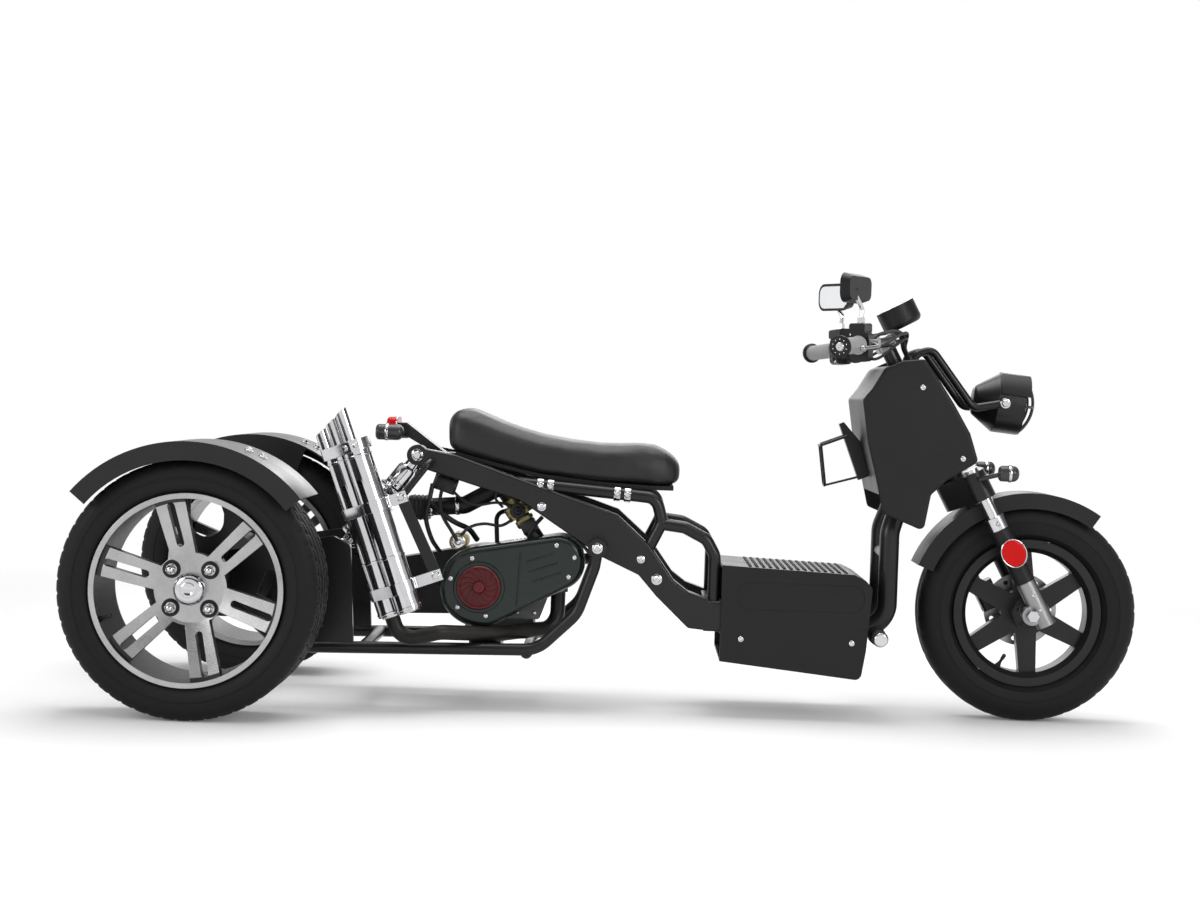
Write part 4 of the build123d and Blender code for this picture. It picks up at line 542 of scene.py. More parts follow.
FINISHES: dict[str, Finish] = {
    f.name: f
    for f in (
        Finish("frame_paint", (0.0065, 0.0065, 0.0070), (0.011, 0.011, 0.0115), rough_low=0.24,
               rough_high=0.38, coat=0.12, coat_rough=0.18, depth=0.05, grain=1400.0, specular=0.26,
               edge_wear_and_highlight_colour=(0.09, 0.09, 0.092), dust=0.05),
        Finish("panel_plastic", (0.0062, 0.0062, 0.0070), (0.0105, 0.0105, 0.0115), rough_low=0.34,
               rough_high=0.48, grain=1900.0, depth=0.16, specular=0.24, edge_wear_and_highlight_colour=(0.07, 0.07, 0.072),
               dust=0.05),
        Finish("seat_vinyl", (0.0085, 0.0085, 0.0092), (0.015, 0.015, 0.016), rough_low=0.38, rough_high=0.52,
               grain=620.0, depth=0.34, edge_wear_and_highlight=0.15, dust=0.08, specular=0.34),
        Finish("bright_chrome", (0.66, 0.66, 0.67), (0.54, 0.54, 0.56), metallic=1.0, rough_low=0.04,
               rough_high=0.12, depth=0.02, edge_wear_and_highlight=0.1, dust=0.03, mottle=20.0),
        Finish("cast_alloy", (0.34, 0.34, 0.345), (0.26, 0.26, 0.265), metallic=1.0, rough_low=0.26,
               rough_high=0.4, grain=1100.0, depth=0.12, edge_wear_and_highlight_colour=(0.6, 0.6, 0.6), dust=0.06),
        Finish("engine_alloy", (0.095, 0.095, 0.097), (0.055, 0.055, 0.056), metallic=1.0, rough_low=0.34,
               rough_high=0.52, grain=900.0, depth=0.2, mottle=24.0, edge_wear_and_highlight_colour=(0.35, 0.35, 0.35),
               dust=0.06),
        Finish("mat_rubber", (0.006, 0.006, 0.0062), (0.011, 0.011, 0.0112), rough_low=0.62, rough_high=0.78,
               grain=1500.0, depth=0.24, specular=0.12, dust=0.04),
        Finish("black_alloy", (0.006, 0.006, 0.0065), (0.011, 0.011, 0.0115), rough_low=0.28, rough_high=0.4,
               coat=0.1, coat_rough=0.2, depth=0.05, specular=0.26, edge_wear_and_highlight_colour=(0.08, 0.08, 0.082),
               dust=0.05),
        Finish("disc_steel", (0.40, 0.40, 0.41), (0.30, 0.30, 0.31), metallic=1.0, rough_low=0.22,
               rough_high=0.36, lines=220.0, depth=0.1),
        Finish("tyre_rubber", (0.0052, 0.0052, 0.0055), (0.010, 0.010, 0.0102), rough_low=0.5,
               rough_high=0.68, grain=1300.0, depth=0.28, edge_wear_and_highlight=0.1, edge_wear_and_highlight_colour=(0.05, 0.05, 0.05), dust=0.05,
               specular=0.18),
        Finish("grip_rubber", (0.34, 0.34, 0.345), (0.42, 0.42, 0.425), rough_low=0.5, rough_high=0.66,
               grain=1500.0, depth=0.2),
        Finish("shroud_green", (0.0045, 0.0095, 0.0078), (0.008, 0.0155, 0.0125), rough_low=0.2,
               rough_high=0.32, coat=0.2, coat_rough=0.12, depth=0.04, specular=0.3,
               edge_wear_and_highlight_colour=(0.06, 0.075, 0.068), dust=0.04),
        Finish("fan_red", (0.085, 0.0022, 0.0042), (0.13, 0.004, 0.007), rough_low=0.2, rough_high=0.3,
               coat=0.15, depth=0.04, specular=0.25, edge_wear_and_highlight_colour=(0.2, 0.03, 0.03), dust=0.03),
        LensFinish("red_lens", (0.47, 0.0015, 0.002), (0.57, 0.003, 0.003), rough_low=0.12, rough_high=0.2,
                   depth=0.03, coat=0.05, through=0.0, dust=0.0, edge_wear_and_highlight=0.0, specular=0.16),
        Finish("signal_shell", (0.026, 0.026, 0.027), (0.042, 0.042, 0.043), rough_low=0.16, rough_high=0.26,
               coat=0.15, depth=0.04, specular=0.3, edge_wear_and_highlight_colour=(0.12, 0.12, 0.12), dust=0.04),
        LensFinish("clear_lens", (0.92, 0.94, 0.96), (0.86, 0.89, 0.92), rough_low=0.03, rough_high=0.07,
                   depth=0.02, through=0.9, dust=0.0, edge_wear_and_highlight=0.0),
        Finish("zinc_yellow", (0.34, 0.25, 0.075), (0.42, 0.33, 0.14), metallic=0.85, rough_low=0.26,
               rough_high=0.4, depth=0.08),
        Finish("olive_cast", (0.20, 0.165, 0.065), (0.28, 0.24, 0.12), metallic=0.8, rough_low=0.34,
               rough_high=0.5, depth=0.16, grain=1000.0),
        Finish("dark_steel", (0.0105, 0.0098, 0.0094), (0.018, 0.0162, 0.015), metallic=0.3, specular=0.3,
               rough_low=0.3, rough_high=0.48, depth=0.12, mottle=26.0),
        Finish("mirror_silver", (0.86, 0.87, 0.88), (0.80, 0.81, 0.83), metallic=1.0, rough_low=0.015,
               rough_high=0.05, depth=0.005, edge_wear_and_highlight=0.0, dust=0.03),
        Finish("dial_black", (0.008, 0.008, 0.009), (0.014, 0.014, 0.015), rough_low=0.3, rough_high=0.42,
               depth=0.05),
        Finish("mark_white", (0.72, 0.72, 0.70), (0.80, 0.80, 0.78), rough_low=0.35, rough_high=0.5,
               depth=0.04),
        Finish("dark_hose", (0.007, 0.007, 0.0075), (0.013, 0.013, 0.0135), rough_low=0.42, rough_high=0.56,
               grain=2000.0, depth=0.2, specular=0.3),
    )
}

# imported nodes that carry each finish
NODES_OF: dict[str, Sequence[str]] = {
    "frame_paint": ("frame_rails", "front_frame", "engine_cradle", "axle_housing", "lamp_bracket",
                    "tail_bracket",
                    "exhaust_hanger", "drink_holder", "rear_fenders", "headlamp_bucket", "headlamp_grille",
                    "fork_yoke"),
    "panel_plastic": ("leg_shield", "floor_box", "front_fender", "fork_covers", "controls", "speedometer",
                      "mirror_heads", "seat_pan", "air_filter"),
    "seat_vinyl": ("seat",),
    "bright_chrome": ("exhaust", "exhaust_clamps", "foot_pegs", "fork_tubes", "rear_shocks", "rear_hub_right",
                      "rear_hub_left", "front_axle", "mirror_stems"),
    "cast_alloy": ("fork_legs", "handlebar", "levers"),
    "engine_alloy": ("engine_case",),
    "black_alloy": ("brake_caliper", "drive_case", "chain_case", "front_rim"),
    "disc_steel": ("brake_disc",),
    "dark_steel": ("exhaust_header",),
    "dark_hose": ("engine_hoses", "brake_hose"),
    "tyre_rubber": ("front_tyre", "rear_tyre_right", "rear_tyre_left"),
    "grip_rubber": ("grips",),
    "shroud_green": ("fan_shroud",),
    "fan_red": ("fan_cover",),
    "red_lens": ("tail_lamp", "reflectors"),
    "clear_lens": ("headlamp_lens",),
    "signal_shell": ("front_signals", "rear_signals"),
    "zinc_yellow": ("starter_motor",),
    "olive_cast": ("carburettor",),
}


class PaintShop:
    """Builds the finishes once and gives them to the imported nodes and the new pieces."""

    def __init__(self, nodes: dict[str, bpy.types.Object]) -> None:
        """Build the shared effects and every finish.

        Args:
            nodes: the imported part's objects by name.
        """
        self.nodes = nodes
        self.effects = Effects()
        self.made = {name: finish.build(self.effects) for name, finish in FINISHES.items()}

    def material(self, name: str) -> bpy.types.Material:
        """Return a finish by name."""
        return self.made[name]

    def paint(self, node: str, material: bpy.types.Material) -> None:
        """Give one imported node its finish.

        Args:
            node: the node's name.
            material: the finish.
        """
        data = self.nodes[node].data
        data.materials.clear()
        data.materials.append(material)

    def paint_all(self) -> None:
        """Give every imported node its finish, and the wide rims their two tones."""
        for finish, nodes in NODES_OF.items():
            for node in nodes:
                self.paint(node, self.material(finish))
        for side in Side:
            rim = WheelFinish(f"machined_rim_{side.tag}", (0.54, 0.54, 0.545), (0.30, 0.30, 0.305),
                              metallic=1.0, rough_low=0.2, rough_high=0.36, lines=180.0, depth=0.1, edge_wear_and_highlight=0.1,
                              dust=0.05, axle=tuple(STANCE.rear_axle(side)))
            self.paint(f"rear_rim_{side.tag}", rim.build(self.effects))
        LOG.info("painted %d packed nodes", len(self.nodes))


# Mesh tools


# edges that turn by more than this, in degrees, stay sharp
SHARP_DEG = 38.0
# across the middle, from the right side to the left
MIRROR = Matrix.Scale(-1, 4, Vector((0, 1, 0)))


def add_mesh(name: str, mesh: bmesh.types.BMesh, body: Body, material: bpy.types.Material,
             replaces: Sequence[str] = ()) -> bpy.types.Object:
    """Turn a finished mesh into a piece that rides on a body.

    Args:
        name: name of the piece.
        mesh: the geometry, in metres, in the part's frame.
        body: the body that it moves with.
        material: its finish.
        replaces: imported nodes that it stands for.

    Returns:
        The new object.
    """
    bmesh.ops.recalc_face_normals(mesh, faces=mesh.faces)
    data = bpy.data.meshes.new(name)
    mesh.to_mesh(data)
    mesh.free()
    piece = bpy.data.objects.new(name, data)
    bpy.context.scene.collection.objects.link(piece)
    data.materials.append(material)
    data.polygons.foreach_set("use_smooth", [True] * len(data.polygons))
    data.set_sharp_from_angle(angle=math.radians(SHARP_DEG))
    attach(piece, body.value)
    if replaces:
        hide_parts(*replaces)
    LOG.info("piece %s on %s", name, body.value)
    return piece


def frame_at(origin: Vector, normal: Vector, turn: float = 0.0) -> Matrix:
    """Make a placing whose Z axis is a given direction.

    Args:
        origin: the place, in metres.
        normal: direction of its Z axis.
        turn: turn about that axis, in degrees.

    Returns:
        The placing as a matrix.
    """
    spin = Matrix.Rotation(math.radians(turn), 4, "Z")
    lean = normal.normalized().to_track_quat("Z", "Y").to_matrix().to_4x4()
    return Matrix.Translation(origin) @ lean @ spin


def shifted(place: Matrix, x: float, y: float, z: float) -> Matrix:
    """Move a placing along its own axes, by millimetres."""
    return place @ Matrix.Translation(Vector((x, y, z)) * MM)


def lathe(mesh: bmesh.types.BMesh, profile: Sequence[tuple[float, float]], place: Matrix, segments: int = 32,
          shift: Callable[[int, int], float] | None = None) -> None:
    """Turn a profile about the Z axis of a placing.

    Args:
        mesh: mesh that takes the faces.
        profile: radius and height of each station, in metres.
        place: placing of the turning axis.
        segments: number of stations around.
        shift: change of radius by profile station and segment, in metres.
    """
    rings = []
    for row, (radius, height) in enumerate(profile):
        if radius < 1e-7:
            rings.append([mesh.verts.new(place @ Vector((0, 0, height)))])
            continue
        ring = []
        for k in range(segments):
            a = 2 * math.pi * k / segments
            r = radius + (shift(row, k) if shift else 0.0)
            ring.append(mesh.verts.new(place @ Vector((r * math.cos(a), r * math.sin(a), height))))
        rings.append(ring)
    for low, high in zip(rings, rings[1:]):
        if len(low) == 1 and len(high) == 1:
            continue
        for k in range(segments):
            n = (k + 1) % segments
            if len(low) == 1:
                mesh.faces.new((low[0], high[k], high[n]))
            elif len(high) == 1:
                mesh.faces.new((low[k], high[0], low[n]))
            else:
                mesh.faces.new((low[k], high[k], high[n], low[n]))


def turn_mm(mesh: bmesh.types.BMesh, profile: Sequence[tuple[float, float]], place: Matrix, segments: int,
            shift: Callable[[int, int], float] | None = None) -> None:
    """Turn a profile that is given in millimetres.

    Args:
        mesh: mesh that takes the faces.
        profile: radius and height of each station, in millimetres.
        place: placing of the turning axis.
        segments: number of stations around.
        shift: change of radius by profile station and segment, in metres.
    """
    lathe(mesh, [(radius * MM, height * MM) for radius, height in profile], place, segments, shift)


def hex_bolt(mesh: bmesh.types.BMesh, place: Matrix, across: float = 12.0, high: float = 7.0,
             washer: float = 9.0) -> None:
    """Add a hexagon head on its washer, seated on the placing's plane.

    Args:
        mesh: mesh that takes the bolt.
        place: placing, with Z away from the surface.
        across: width of the head across corners, in millimetres.
        high: height of the head, in millimetres.
        washer: radius of the washer, in millimetres.
    """
    r, h, w = across / 2 * MM, high * MM, washer * MM
    t = 1.6 * MM
    lathe(mesh, ((0, -t), (w, -t), (w, t * 0.7), (w - t * 0.4, t), (0, t)), place, 24)
    lathe(mesh, ((0, t * 0.5), (r, t * 0.5), (r, h * 0.85), (r * 0.86, h), (r * 0.5, h * 1.02),
                 (0, h * 1.02)), place, 6)


def cap_screw(mesh: bmesh.types.BMesh, place: Matrix, across: float = 11.0, high: float = 5.0) -> None:
    """Add a domed screw head with a hexagon socket, seated on the placing's plane.

    Args:
        mesh: mesh that takes the screw.
        place: placing, with Z away from the surface.
        across: diameter of the head, in millimetres.
        high: height of the head, in millimetres.
    """
    r, h = across / 2 * MM, high * MM
    outer = ((0, -0.001), (r, -0.001), (r, h * 0.35), (r * 0.9, h * 0.7), (r * 0.7, h * 0.92), (r * 0.5, h),
             (r * 0.45, h), (r * 0.42, h * 0.45), (0, h * 0.45))
    lathe(mesh, outer, place, 18)


def slab(mesh: bmesh.types.BMesh, place: Matrix, size: tuple[float, float, float], edge: float) -> None:
    """Add a block with rounded edges, centred on a placing.

    Args:
        mesh: mesh that takes the block.
        place: placing of its centre.
        size: its three lengths, in millimetres.
        edge: radius of its edges, in millimetres.
    """
    scale = Matrix.Diagonal((size[0] * MM, size[1] * MM, size[2] * MM, 1.0))
    made = bmesh.ops.create_cube(mesh, size=1.0, matrix=place @ scale)
    # each edge once, in a fixed order
    edges = list(dict.fromkeys(e for v in made["verts"] for e in v.link_edges))
    bmesh.ops.bevel(mesh, geom=edges, offset=edge * MM, offset_type="OFFSET", segments=2, profile=0.5,
                    affect="EDGES", clamp_overlap=True)


def round_outline(wide: float, high: float, corner: float, steps: int) -> list[tuple[float, float]]:
    """Lay out a rectangle with round corners about its centre.

    Args:
        wide: its width.
        high: its height.
        corner: radius of its corners.
        steps: stations in each corner.

    Returns:
        The points, going round once.
    """
    points = []
    for sx, sy, start in ((1, 1, 0), (-1, 1, 90), (-1, -1, 180), (1, -1, 270)):
        for k in range(steps + 1):
            a = math.radians(start + 90 * k / steps)
            points.append((sx * (wide / 2 - corner) + corner * math.cos(a),
                           sy * (high / 2 - corner) + corner * math.sin(a)))
    return points


def plate(mesh: bmesh.types.BMesh, place: Matrix, outline: Sequence[tuple[float, float]],
          thick: float) -> None:
    """Add a thin plate with a rounded rim on a placing's plane.

    Args:
        mesh: mesh that takes the plate.
        place: placing, with Z away from the surface.
        outline: its outline, in millimetres.
        thick: its height above the plane, in millimetres.
    """
    rings = []
    for share, rise in ((1.0, -0.8), (1.0, thick * 0.5), (0.985, thick * 0.9), (0.96, thick)):
        rings.append([mesh.verts.new(place @ (Vector((x * share, y * share, rise)) * MM)) for x,
                      y in outline])
    count = len(outline)
    for low, high in zip(rings, rings[1:]):
        for k in range(count):
            n = (k + 1) % count
            mesh.faces.new((low[k], low[n], high[n], high[k]))
    mesh.faces.new(list(reversed(rings[0])))
    mesh.faces.new(rings[-1])


def blade(mesh: bmesh.types.BMesh, place: Matrix, line: Sequence[Vector], thick: float, low: float,
          high: float) -> None:
    """Add a thin wall that stands on a curved line.

    Args:
        mesh: mesh that takes the wall.
        place: placing of the line's plane.
        line: the points of the line, in metres.
        thick: half of the wall's thickness, in metres.
        low: height of its foot, in metres.
        high: height of its top, in metres.
    """
    rows = []
    for k, at in enumerate(line):
        along = (line[min(k + 1, len(line) - 1)] - line[max(k - 1, 0)]).normalized()
        side = Vector((-along.y, along.x, 0)) * thick
        corners = ((at - side, low), (at + side, low), (at + side * 0.7, high), (at - side * 0.7, high))
        rows.append([mesh.verts.new(place @ (p + Vector((0, 0, h)))) for p, h in corners])
    for back, front in zip(rows, rows[1:]):
        for k in range(4):
            n = (k + 1) % 4
            mesh.faces.new((back[k], back[n], front[n], front[k]))
    mesh.faces.new(list(reversed(rows[0])))
    mesh.faces.new(rows[-1])


def smooth_line(knots: Sequence[Vector], steps: int) -> list[Vector]:
    """Lay a smooth curve through knots.

    Args:
        knots: the points to pass.
        steps: stations between two knots.

    Returns:
        The points of the curve.
    """
    ends = [knots[0] * 2 - knots[1], *knots, knots[-1] * 2 - knots[-2]]
    points = []
    for a, b, c, d in zip(ends, ends[1:], ends[2:], ends[3:]):
        for k in range(steps):
            t = k / steps
            bend, twist = a * 2 - b * 5 + c * 4 - d, b * 3 - a - c * 3 + d
            points.append((b * 2 + (c - a) * t + bend * t**2 + twist * t**3) * 0.5)
    return points + [knots[-1].copy()]


def sweep_line(mesh: bmesh.types.BMesh, route: Sequence[Vector], radius: float, sides: int = 8,
               closed: bool = False) -> None:
    """Add a round bar along a line of points.

    Args:
        mesh: mesh that takes the bar.
        route: the points, in metres.
        radius: radius of the bar, in metres.
        sides: number of stations around it.
        closed: join the last point to the first.
    """
    count = len(route)
    rings = []
    across = None
    for k, at in enumerate(route):
        ahead = route[(k + 1) % count] if closed or k + 1 < count else route[k]
        behind = route[k - 1] if closed or k > 0 else route[k]
        along = (ahead - behind).normalized()
        if across is None:
            across = along.orthogonal().normalized()
        across = (across - along * across.dot(along)).normalized()
        over = along.cross(across)
        ring = []
        for j in range(sides):
            a = 2 * math.pi * j / sides
            ring.append(mesh.verts.new(at + (across * math.cos(a) + over * math.sin(a)) * radius))
        rings.append(ring)
    pairs = list(zip(rings, rings[1:]))
    if closed:
        pairs.append((rings[-1], rings[0]))
    for low, high in pairs:
        for j in range(sides):
            n = (j + 1) % sides
            mesh.faces.new((low[j], low[n], high[n], high[j]))
    if not closed:
        mesh.faces.new(list(reversed(rings[0])))
        mesh.faces.new(rings[-1])


# Sub-assemblies


@dataclass
class Saddle:
    """Long padded seat with a raised tail."""

    shop: PaintShop
    shrink: float = 3.0
    rise: float = 4.0
    swell: float = 4.0
    lift: float = 1.0
    voxel: float = 0.006
    pressure: float = 4.0
    stretch: float = 30.0
    bending: float = 6.0
    frames: int = 20
    # side view from the rear axle: x, top z, bottom z, half width
    stations: Sequence[tuple[float, float, float, float]] = (
        (481, 352, 306, 104), (486, 366, 294, 122), (500, 378, 287, 132), (520, 377, 282, 136),
        (548, 368, 275, 138),
        (596, 348, 263, 139), (640, 334, 253, 139), (682, 323, 245, 138), (745, 313, 237, 136),
        (811, 307, 232, 133),
        (860, 308, 229, 129), (896, 310, 227, 124), (930, 307, 226, 118), (955, 300, 227, 110),
        (975, 288, 231, 98),
        (986, 274, 240, 82),
    )

    def build(self) -> None:
        """Make the cushion."""
        mesh = bmesh.new()
        rings = [self._ring(mesh, *station) for station in self.stations]
        for low, high in zip(rings, rings[1:]):
            count = len(low)
            for k in range(count):
                n = (k + 1) % count
                mesh.faces.new((low[k], low[n], high[n], high[k]))
        mesh.faces.new(rings[0])
        mesh.faces.new(list(reversed(rings[-1])))
        cushion = add_mesh("seat_cushion", mesh, Body.CHASSIS, self.shop.material("seat_vinyl"),
                           replaces=("seat",))
        self._swell(cushion)

    def _ring(self, mesh: bmesh.types.BMesh, x: float, top: float, low: float,
              half: float) -> list[bmesh.types.BMVert]:
        """Add one cross-section: flat below, upright sides, rounded shoulders, crowned top.

        Args:
            mesh: mesh that takes the points.
            x: station from the rear axle.
            top: height of the crown.
            low: height of the base.
            half: half width.

        Returns:
            The ring of points.
        """
        s = self.shrink
        half, top, low = half - s, top - s + self.rise, low + self.lift
        tall = top - low
        outline = (
            (0.0, 0.0), (0.45, 0.0), (0.8, 0.0), (0.95, 0.02), (1.0, 0.14), (0.99, 0.4), (0.975, 0.62),
            (0.93, 0.8),
            (0.84, 0.91), (0.7, 0.965), (0.5, 0.99), (0.25, 1.0), (0.0, 1.0),
        )
        right = [STANCE.aft(x, -half * u, low + tall * v) for u, v in outline]
        left = [STANCE.aft(x, half * u, low + tall * v) for u, v in reversed(outline[1:-1])]
        return [mesh.verts.new(p) for p in right + left]

    def _swell(self, cushion: bpy.types.Object) -> None:
        """Round the cushion out as foam under a tight cover, and smooth it.

        Args:
            cushion: the piece to work on.
        """
        bpy.context.view_layer.objects.active = cushion
        cushion.select_set(True)
        even = cushion.modifiers.new("even", "REMESH")
        even.mode = "VOXEL"
        even.voxel_size = self.voxel
        bpy.ops.object.modifier_apply(modifier="even")
        start = [v.co.copy() for v in cushion.data.vertices]
        soft = cushion.modifiers.new("foam", "CLOTH")
        soft.settings.use_pressure = True
        soft.settings.uniform_pressure_force = self.pressure
        soft.settings.effector_weights.gravity = 0.0
        soft.settings.tension_stiffness = self.stretch
        soft.settings.compression_stiffness = self.stretch
        soft.settings.bending_stiffness = self.bending
        for number in range(1, self.frames + 1):
            bpy.context.scene.frame_set(number)
        bpy.ops.object.modifier_apply(modifier="foam")
        bpy.context.scene.frame_set(1)
        most = self.swell * MM
        for vert, before in zip(cushion.data.vertices, start):
            move = vert.co - before
            if move.length > most:
                vert.co = before + move * (most / move.length)
        flat = cushion.modifiers.new("settle", "SMOOTH")
        flat.factor = 0.5
        flat.iterations = 6
        bpy.ops.object.modifier_apply(modifier="settle")
        fine = cushion.modifiers.new("fine", "SUBSURF")
        fine.levels = 1
        fine.render_levels = 1
        cushion.data.polygons.foreach_set("use_smooth", [True] * len(cushion.data.polygons))
        cushion.select_set(False)


@dataclass
class Tyre:
    """One tyre with grooves and blocks cut into its tread."""

    shop: PaintShop
    name: str
    node: str
    body: Body
    centre: Vector
    outer_r: float
    half_w: float
    bead_r: float
    bead_y: float
    pitches: int
    grooves: Sequence[float]
    depth: float = 5.0
    cross: float = 2.0
    shoulder: float = 26.0
    slant: float = 0.35
    # stations around in each pitch, and the share of it that a cross groove takes
    per_pitch: int = 6
    cut_share: float = 0.17
    # share of the half width, from the middle, that has no cross grooves
    plain_share: float = 0.2
    groove_top: float = 5.0
    groove_foot: float = 4.0
    # stations of the shoulder that carry no tread blocks
    bare: int = 3

    def build(self) -> None:
        """Turn the section and cut the tread."""
        mesh = bmesh.new()
        section, tread = self._section()
        segments = self.pitches * self.per_pitch
        place = Matrix.Translation(self.centre) @ Matrix.Rotation(math.radians(-90), 4, "X")

        def cut(row: int, k: int) -> float:
            """Depth of the cross grooves at a station.

            Args:
                row: station of the section.
                k: station around.

            Returns:
                The change of radius, in metres.
            """
            if row not in tread:
                return 0.0
            y = section[row][1] / MM
            lean = self.slant * abs(y) / self.half_w * 2.0
            phase = (k / self.per_pitch + lean + (0.5 if y > 0 else 0.0)) % 1.0
            middle = abs(y) < self.half_w * self.plain_share
            return -self.cross * MM if phase < self.cut_share and not middle else 0.0

        lathe(mesh, section, place, segments, cut)
        add_mesh(self.name, mesh, self.body, self.shop.material("tyre_rubber"), replaces=(self.node,))

    def _section(self) -> tuple[list[tuple[float, float]], set[int]]:
        """Lay out the section from bead to bead.

        Returns:
            Radius and height of each station, and the stations that carry tread blocks.
        """
        r, w, s = self.outer_r, self.half_w, self.shoulder
        wall = r - self.bead_r
        half: list[tuple[float, float]] = []
        top, foot = self.groove_top, self.groove_foot
        for groove in self.grooves:
            for y, cut in ((groove - top, 0.0), (groove - foot, 1.0), (groove + foot, 1.0),
                           (groove + top, 0.0)):
                if y >= 0:
                    half.append((r - self.depth * cut, y))
        edge = w - s
        for y in (edge * 0.35, edge * 0.62, edge * 0.85, edge):
            if all(abs(y - g) > top + 1.0 for g in self.grooves):
                half.append((r, y))
        half.sort(key=lambda p: p[1])
        for step in range(1, 7):
            a = math.radians(15 * step)
            half.append((r - s * (1 - math.cos(a)), edge + s * math.sin(a)))
        tread = range(len(half) - self.bare)
        # side wall with its raised band, down to the bead
        for share, y in ((0.52, w), (0.50, w), (0.49, w - 1.4), (0.42, w - 1.6), (0.41, w - 0.4),
                         (0.26, w - 1.6), (0.14, w - 5.0), (0.06, self.bead_y + 3.0), (0.0, self.bead_y)):
            half.append((self.bead_r + wall * share, y))
        mirrored = [(radius * MM, -y * MM) for radius, y in reversed(half)]
        count = len(mirrored)
        section = mirrored + [(radius * MM, y * MM) for radius, y in half]
        rows = {count - 1 - k for k in tread} | {count + k for k in tread}
        return section, rows


@dataclass
class Shock:
    """Spring leg on one side: eyes, damper body, cups and a wound spring."""

    shop: PaintShop
    side: Side
    foot: tuple[float, float] = (262.0, 73.0)
    top: tuple[float, float] = (421.0, 276.0)
    lateral: float = 102.0
    eye_r: float = 17.0
    eye_w: float = 26.0
    coil_r: float = 20.5
    wire_r: float = 4.4
    turns: float = 7.0
    # seats of the spring, from the lower and the upper eye
    seat_low: float = 47.0
    seat_high: float = 99.0
    # share of the spring at each end that lies flat, and how far it drops there
    flat_share: float = 0.09
    flat_drop: float = 0.6

    def build(self) -> None:
        """Make the damper and its spring."""
        y = self.side.value * self.lateral
        low, high = STANCE.aft(self.foot[0], y, self.foot[1]), STANCE.aft(self.top[0], y, self.top[1])
        place = frame_at(low, high - low)
        length = (high - low).length / MM
        start, end = self.seat_low, length - self.seat_high
        tag = self.side.tag
        mesh = bmesh.new()
        turn_mm(mesh, ((0, 12), (11, 12), (12, 26), (24, 28), (26, 31), (26, 42), (24, 46), (13, 47),
                       (11.5, 50), (11.5, end - 2), (13, end), (27, end + 1), (28, end + 4), (28, end + 8),
                       (24, end + 10), (21, end + 12), (21, end + 20), (20.2, end + 21), (20.2, end + 24),
                       (21, end + 25), (21, end + 56), (18, length - 36), (13, length - 34),
                       (12, length - 12), (0, length - 12)), place, 40)
        for at in (low, high):
            self._eye(mesh, at)
        add_mesh(f"damper_{tag}", mesh, Body.CHASSIS, self.shop.material("bright_chrome"),
                 replaces=("rear_shocks",) if self.side is Side.RIGHT else ())
        coil = bmesh.new()
        steps = int(self.turns * 28)
        route = []
        for k in range(steps + 1):
            t = k / steps
            ease = min(1.0, t / self.flat_share, (1 - t) / self.flat_share)
            a = 2 * math.pi * self.turns * t
            climb = t * 0.86 + 0.07 * (1 - math.cos(math.pi * t))
            rise = start + self.wire_r + (end - start - 2 * self.wire_r) * climb
            r = self.coil_r * MM
            route.append(place @ Vector((r * math.cos(a), r * math.sin(a),
                                         (rise - self.flat_drop * (1 - ease)) * MM)))
        sweep_line(coil, route, self.wire_r * MM, 10)
        add_mesh(f"spring_{tag}", coil, Body.CHASSIS, self.shop.material("bright_chrome"))

    def _eye(self, mesh: bmesh.types.BMesh, at: Vector) -> None:
        """Add one eye with its rubber-lined sleeve.

        Args:
            mesh: mesh that takes the eye.
            at: centre of the eye.
        """
        half = self.eye_w / 2
        turn_mm(mesh, ((9, -half), (self.eye_r - 1.5, -half), (self.eye_r, -half + 1.5),
                       (self.eye_r, half - 1.5), (self.eye_r - 1.5, half), (9, half), (9, -half)),
                frame_at(at, Side.LEFT.out), 32)


@dataclass
class RearWheelTrim:
    """Small parts on one wide rear wheel: black nut seats, domed nuts, cap boss and valve."""

    shop: PaintShop
    side: Side
    face: float = 46.0
    circle_r: float = 55.0
    nut_top: float = 64.0
    boss: float = 26.3
    barrel_r: float = 184.0
    valve_turn: float = 200.0
    valve_y: float = 80.0

    def build(self) -> None:
        """Make the seats, nut domes, cap boss and valve."""
        out, body, tag = self.side.out, self.side.wheel, self.side.tag
        centre = STANCE.rear_axle(self.side)
        seats, domes = bmesh.new(), bmesh.new()
        for k in range(4):
            a = math.radians(45 + 90 * k)
            spoke = Vector((math.cos(a), 0, math.sin(a)))
            at = centre + spoke * (self.circle_r * MM)
            turn_mm(seats, ((11.2, 0), (17.5, 0), (18.5, 0.8), (18.0, 1.8), (13.0, 1.2), (11.2, 0.6),
                            (11.2, 0)), frame_at(at + out * (self.face * MM), out), 32)
            turn_mm(domes, ((0, -3), (8.4, -3), (8.4, 0.4), (7.4, 3.0), (5.0, 5.2), (2.4, 6.2), (0, 6.4)),
                    frame_at(at + out * (self.nut_top * MM), out), 24)
        add_mesh(f"nut_seats_{tag}", seats, body, self.shop.material("black_alloy"))
        place = frame_at(centre + out * ((self.face + self.boss) * MM), out)
        turn_mm(domes, ((0, -1), (15, -1), (15, 0.6), (13.6, 1.4), (11, 1.4), (10, 0.7), (0, 0.9)), place, 32)
        add_mesh(f"nut_domes_{tag}", domes, body, self.shop.material("bright_chrome"))
        a = math.radians(self.valve_turn)
        spoke = Vector((math.cos(a), 0, math.sin(a)))
        foot = centre + spoke * ((self.barrel_r + 1) * MM) + out * (self.valve_y * MM)
        valve = bmesh.new()
        turn_mm(valve, ((0, -1), (7.5, -1), (6.5, 4), (4.6, 10), (3.4, 16), (3.2, 24), (4.2, 24.5), (4.2, 34),
                        (3.2, 36), (0, 36.4)), frame_at(foot, out * 0.7 - spoke), 20)
        add_mesh(f"valve_{tag}", valve, body, self.shop.material("dark_hose"))


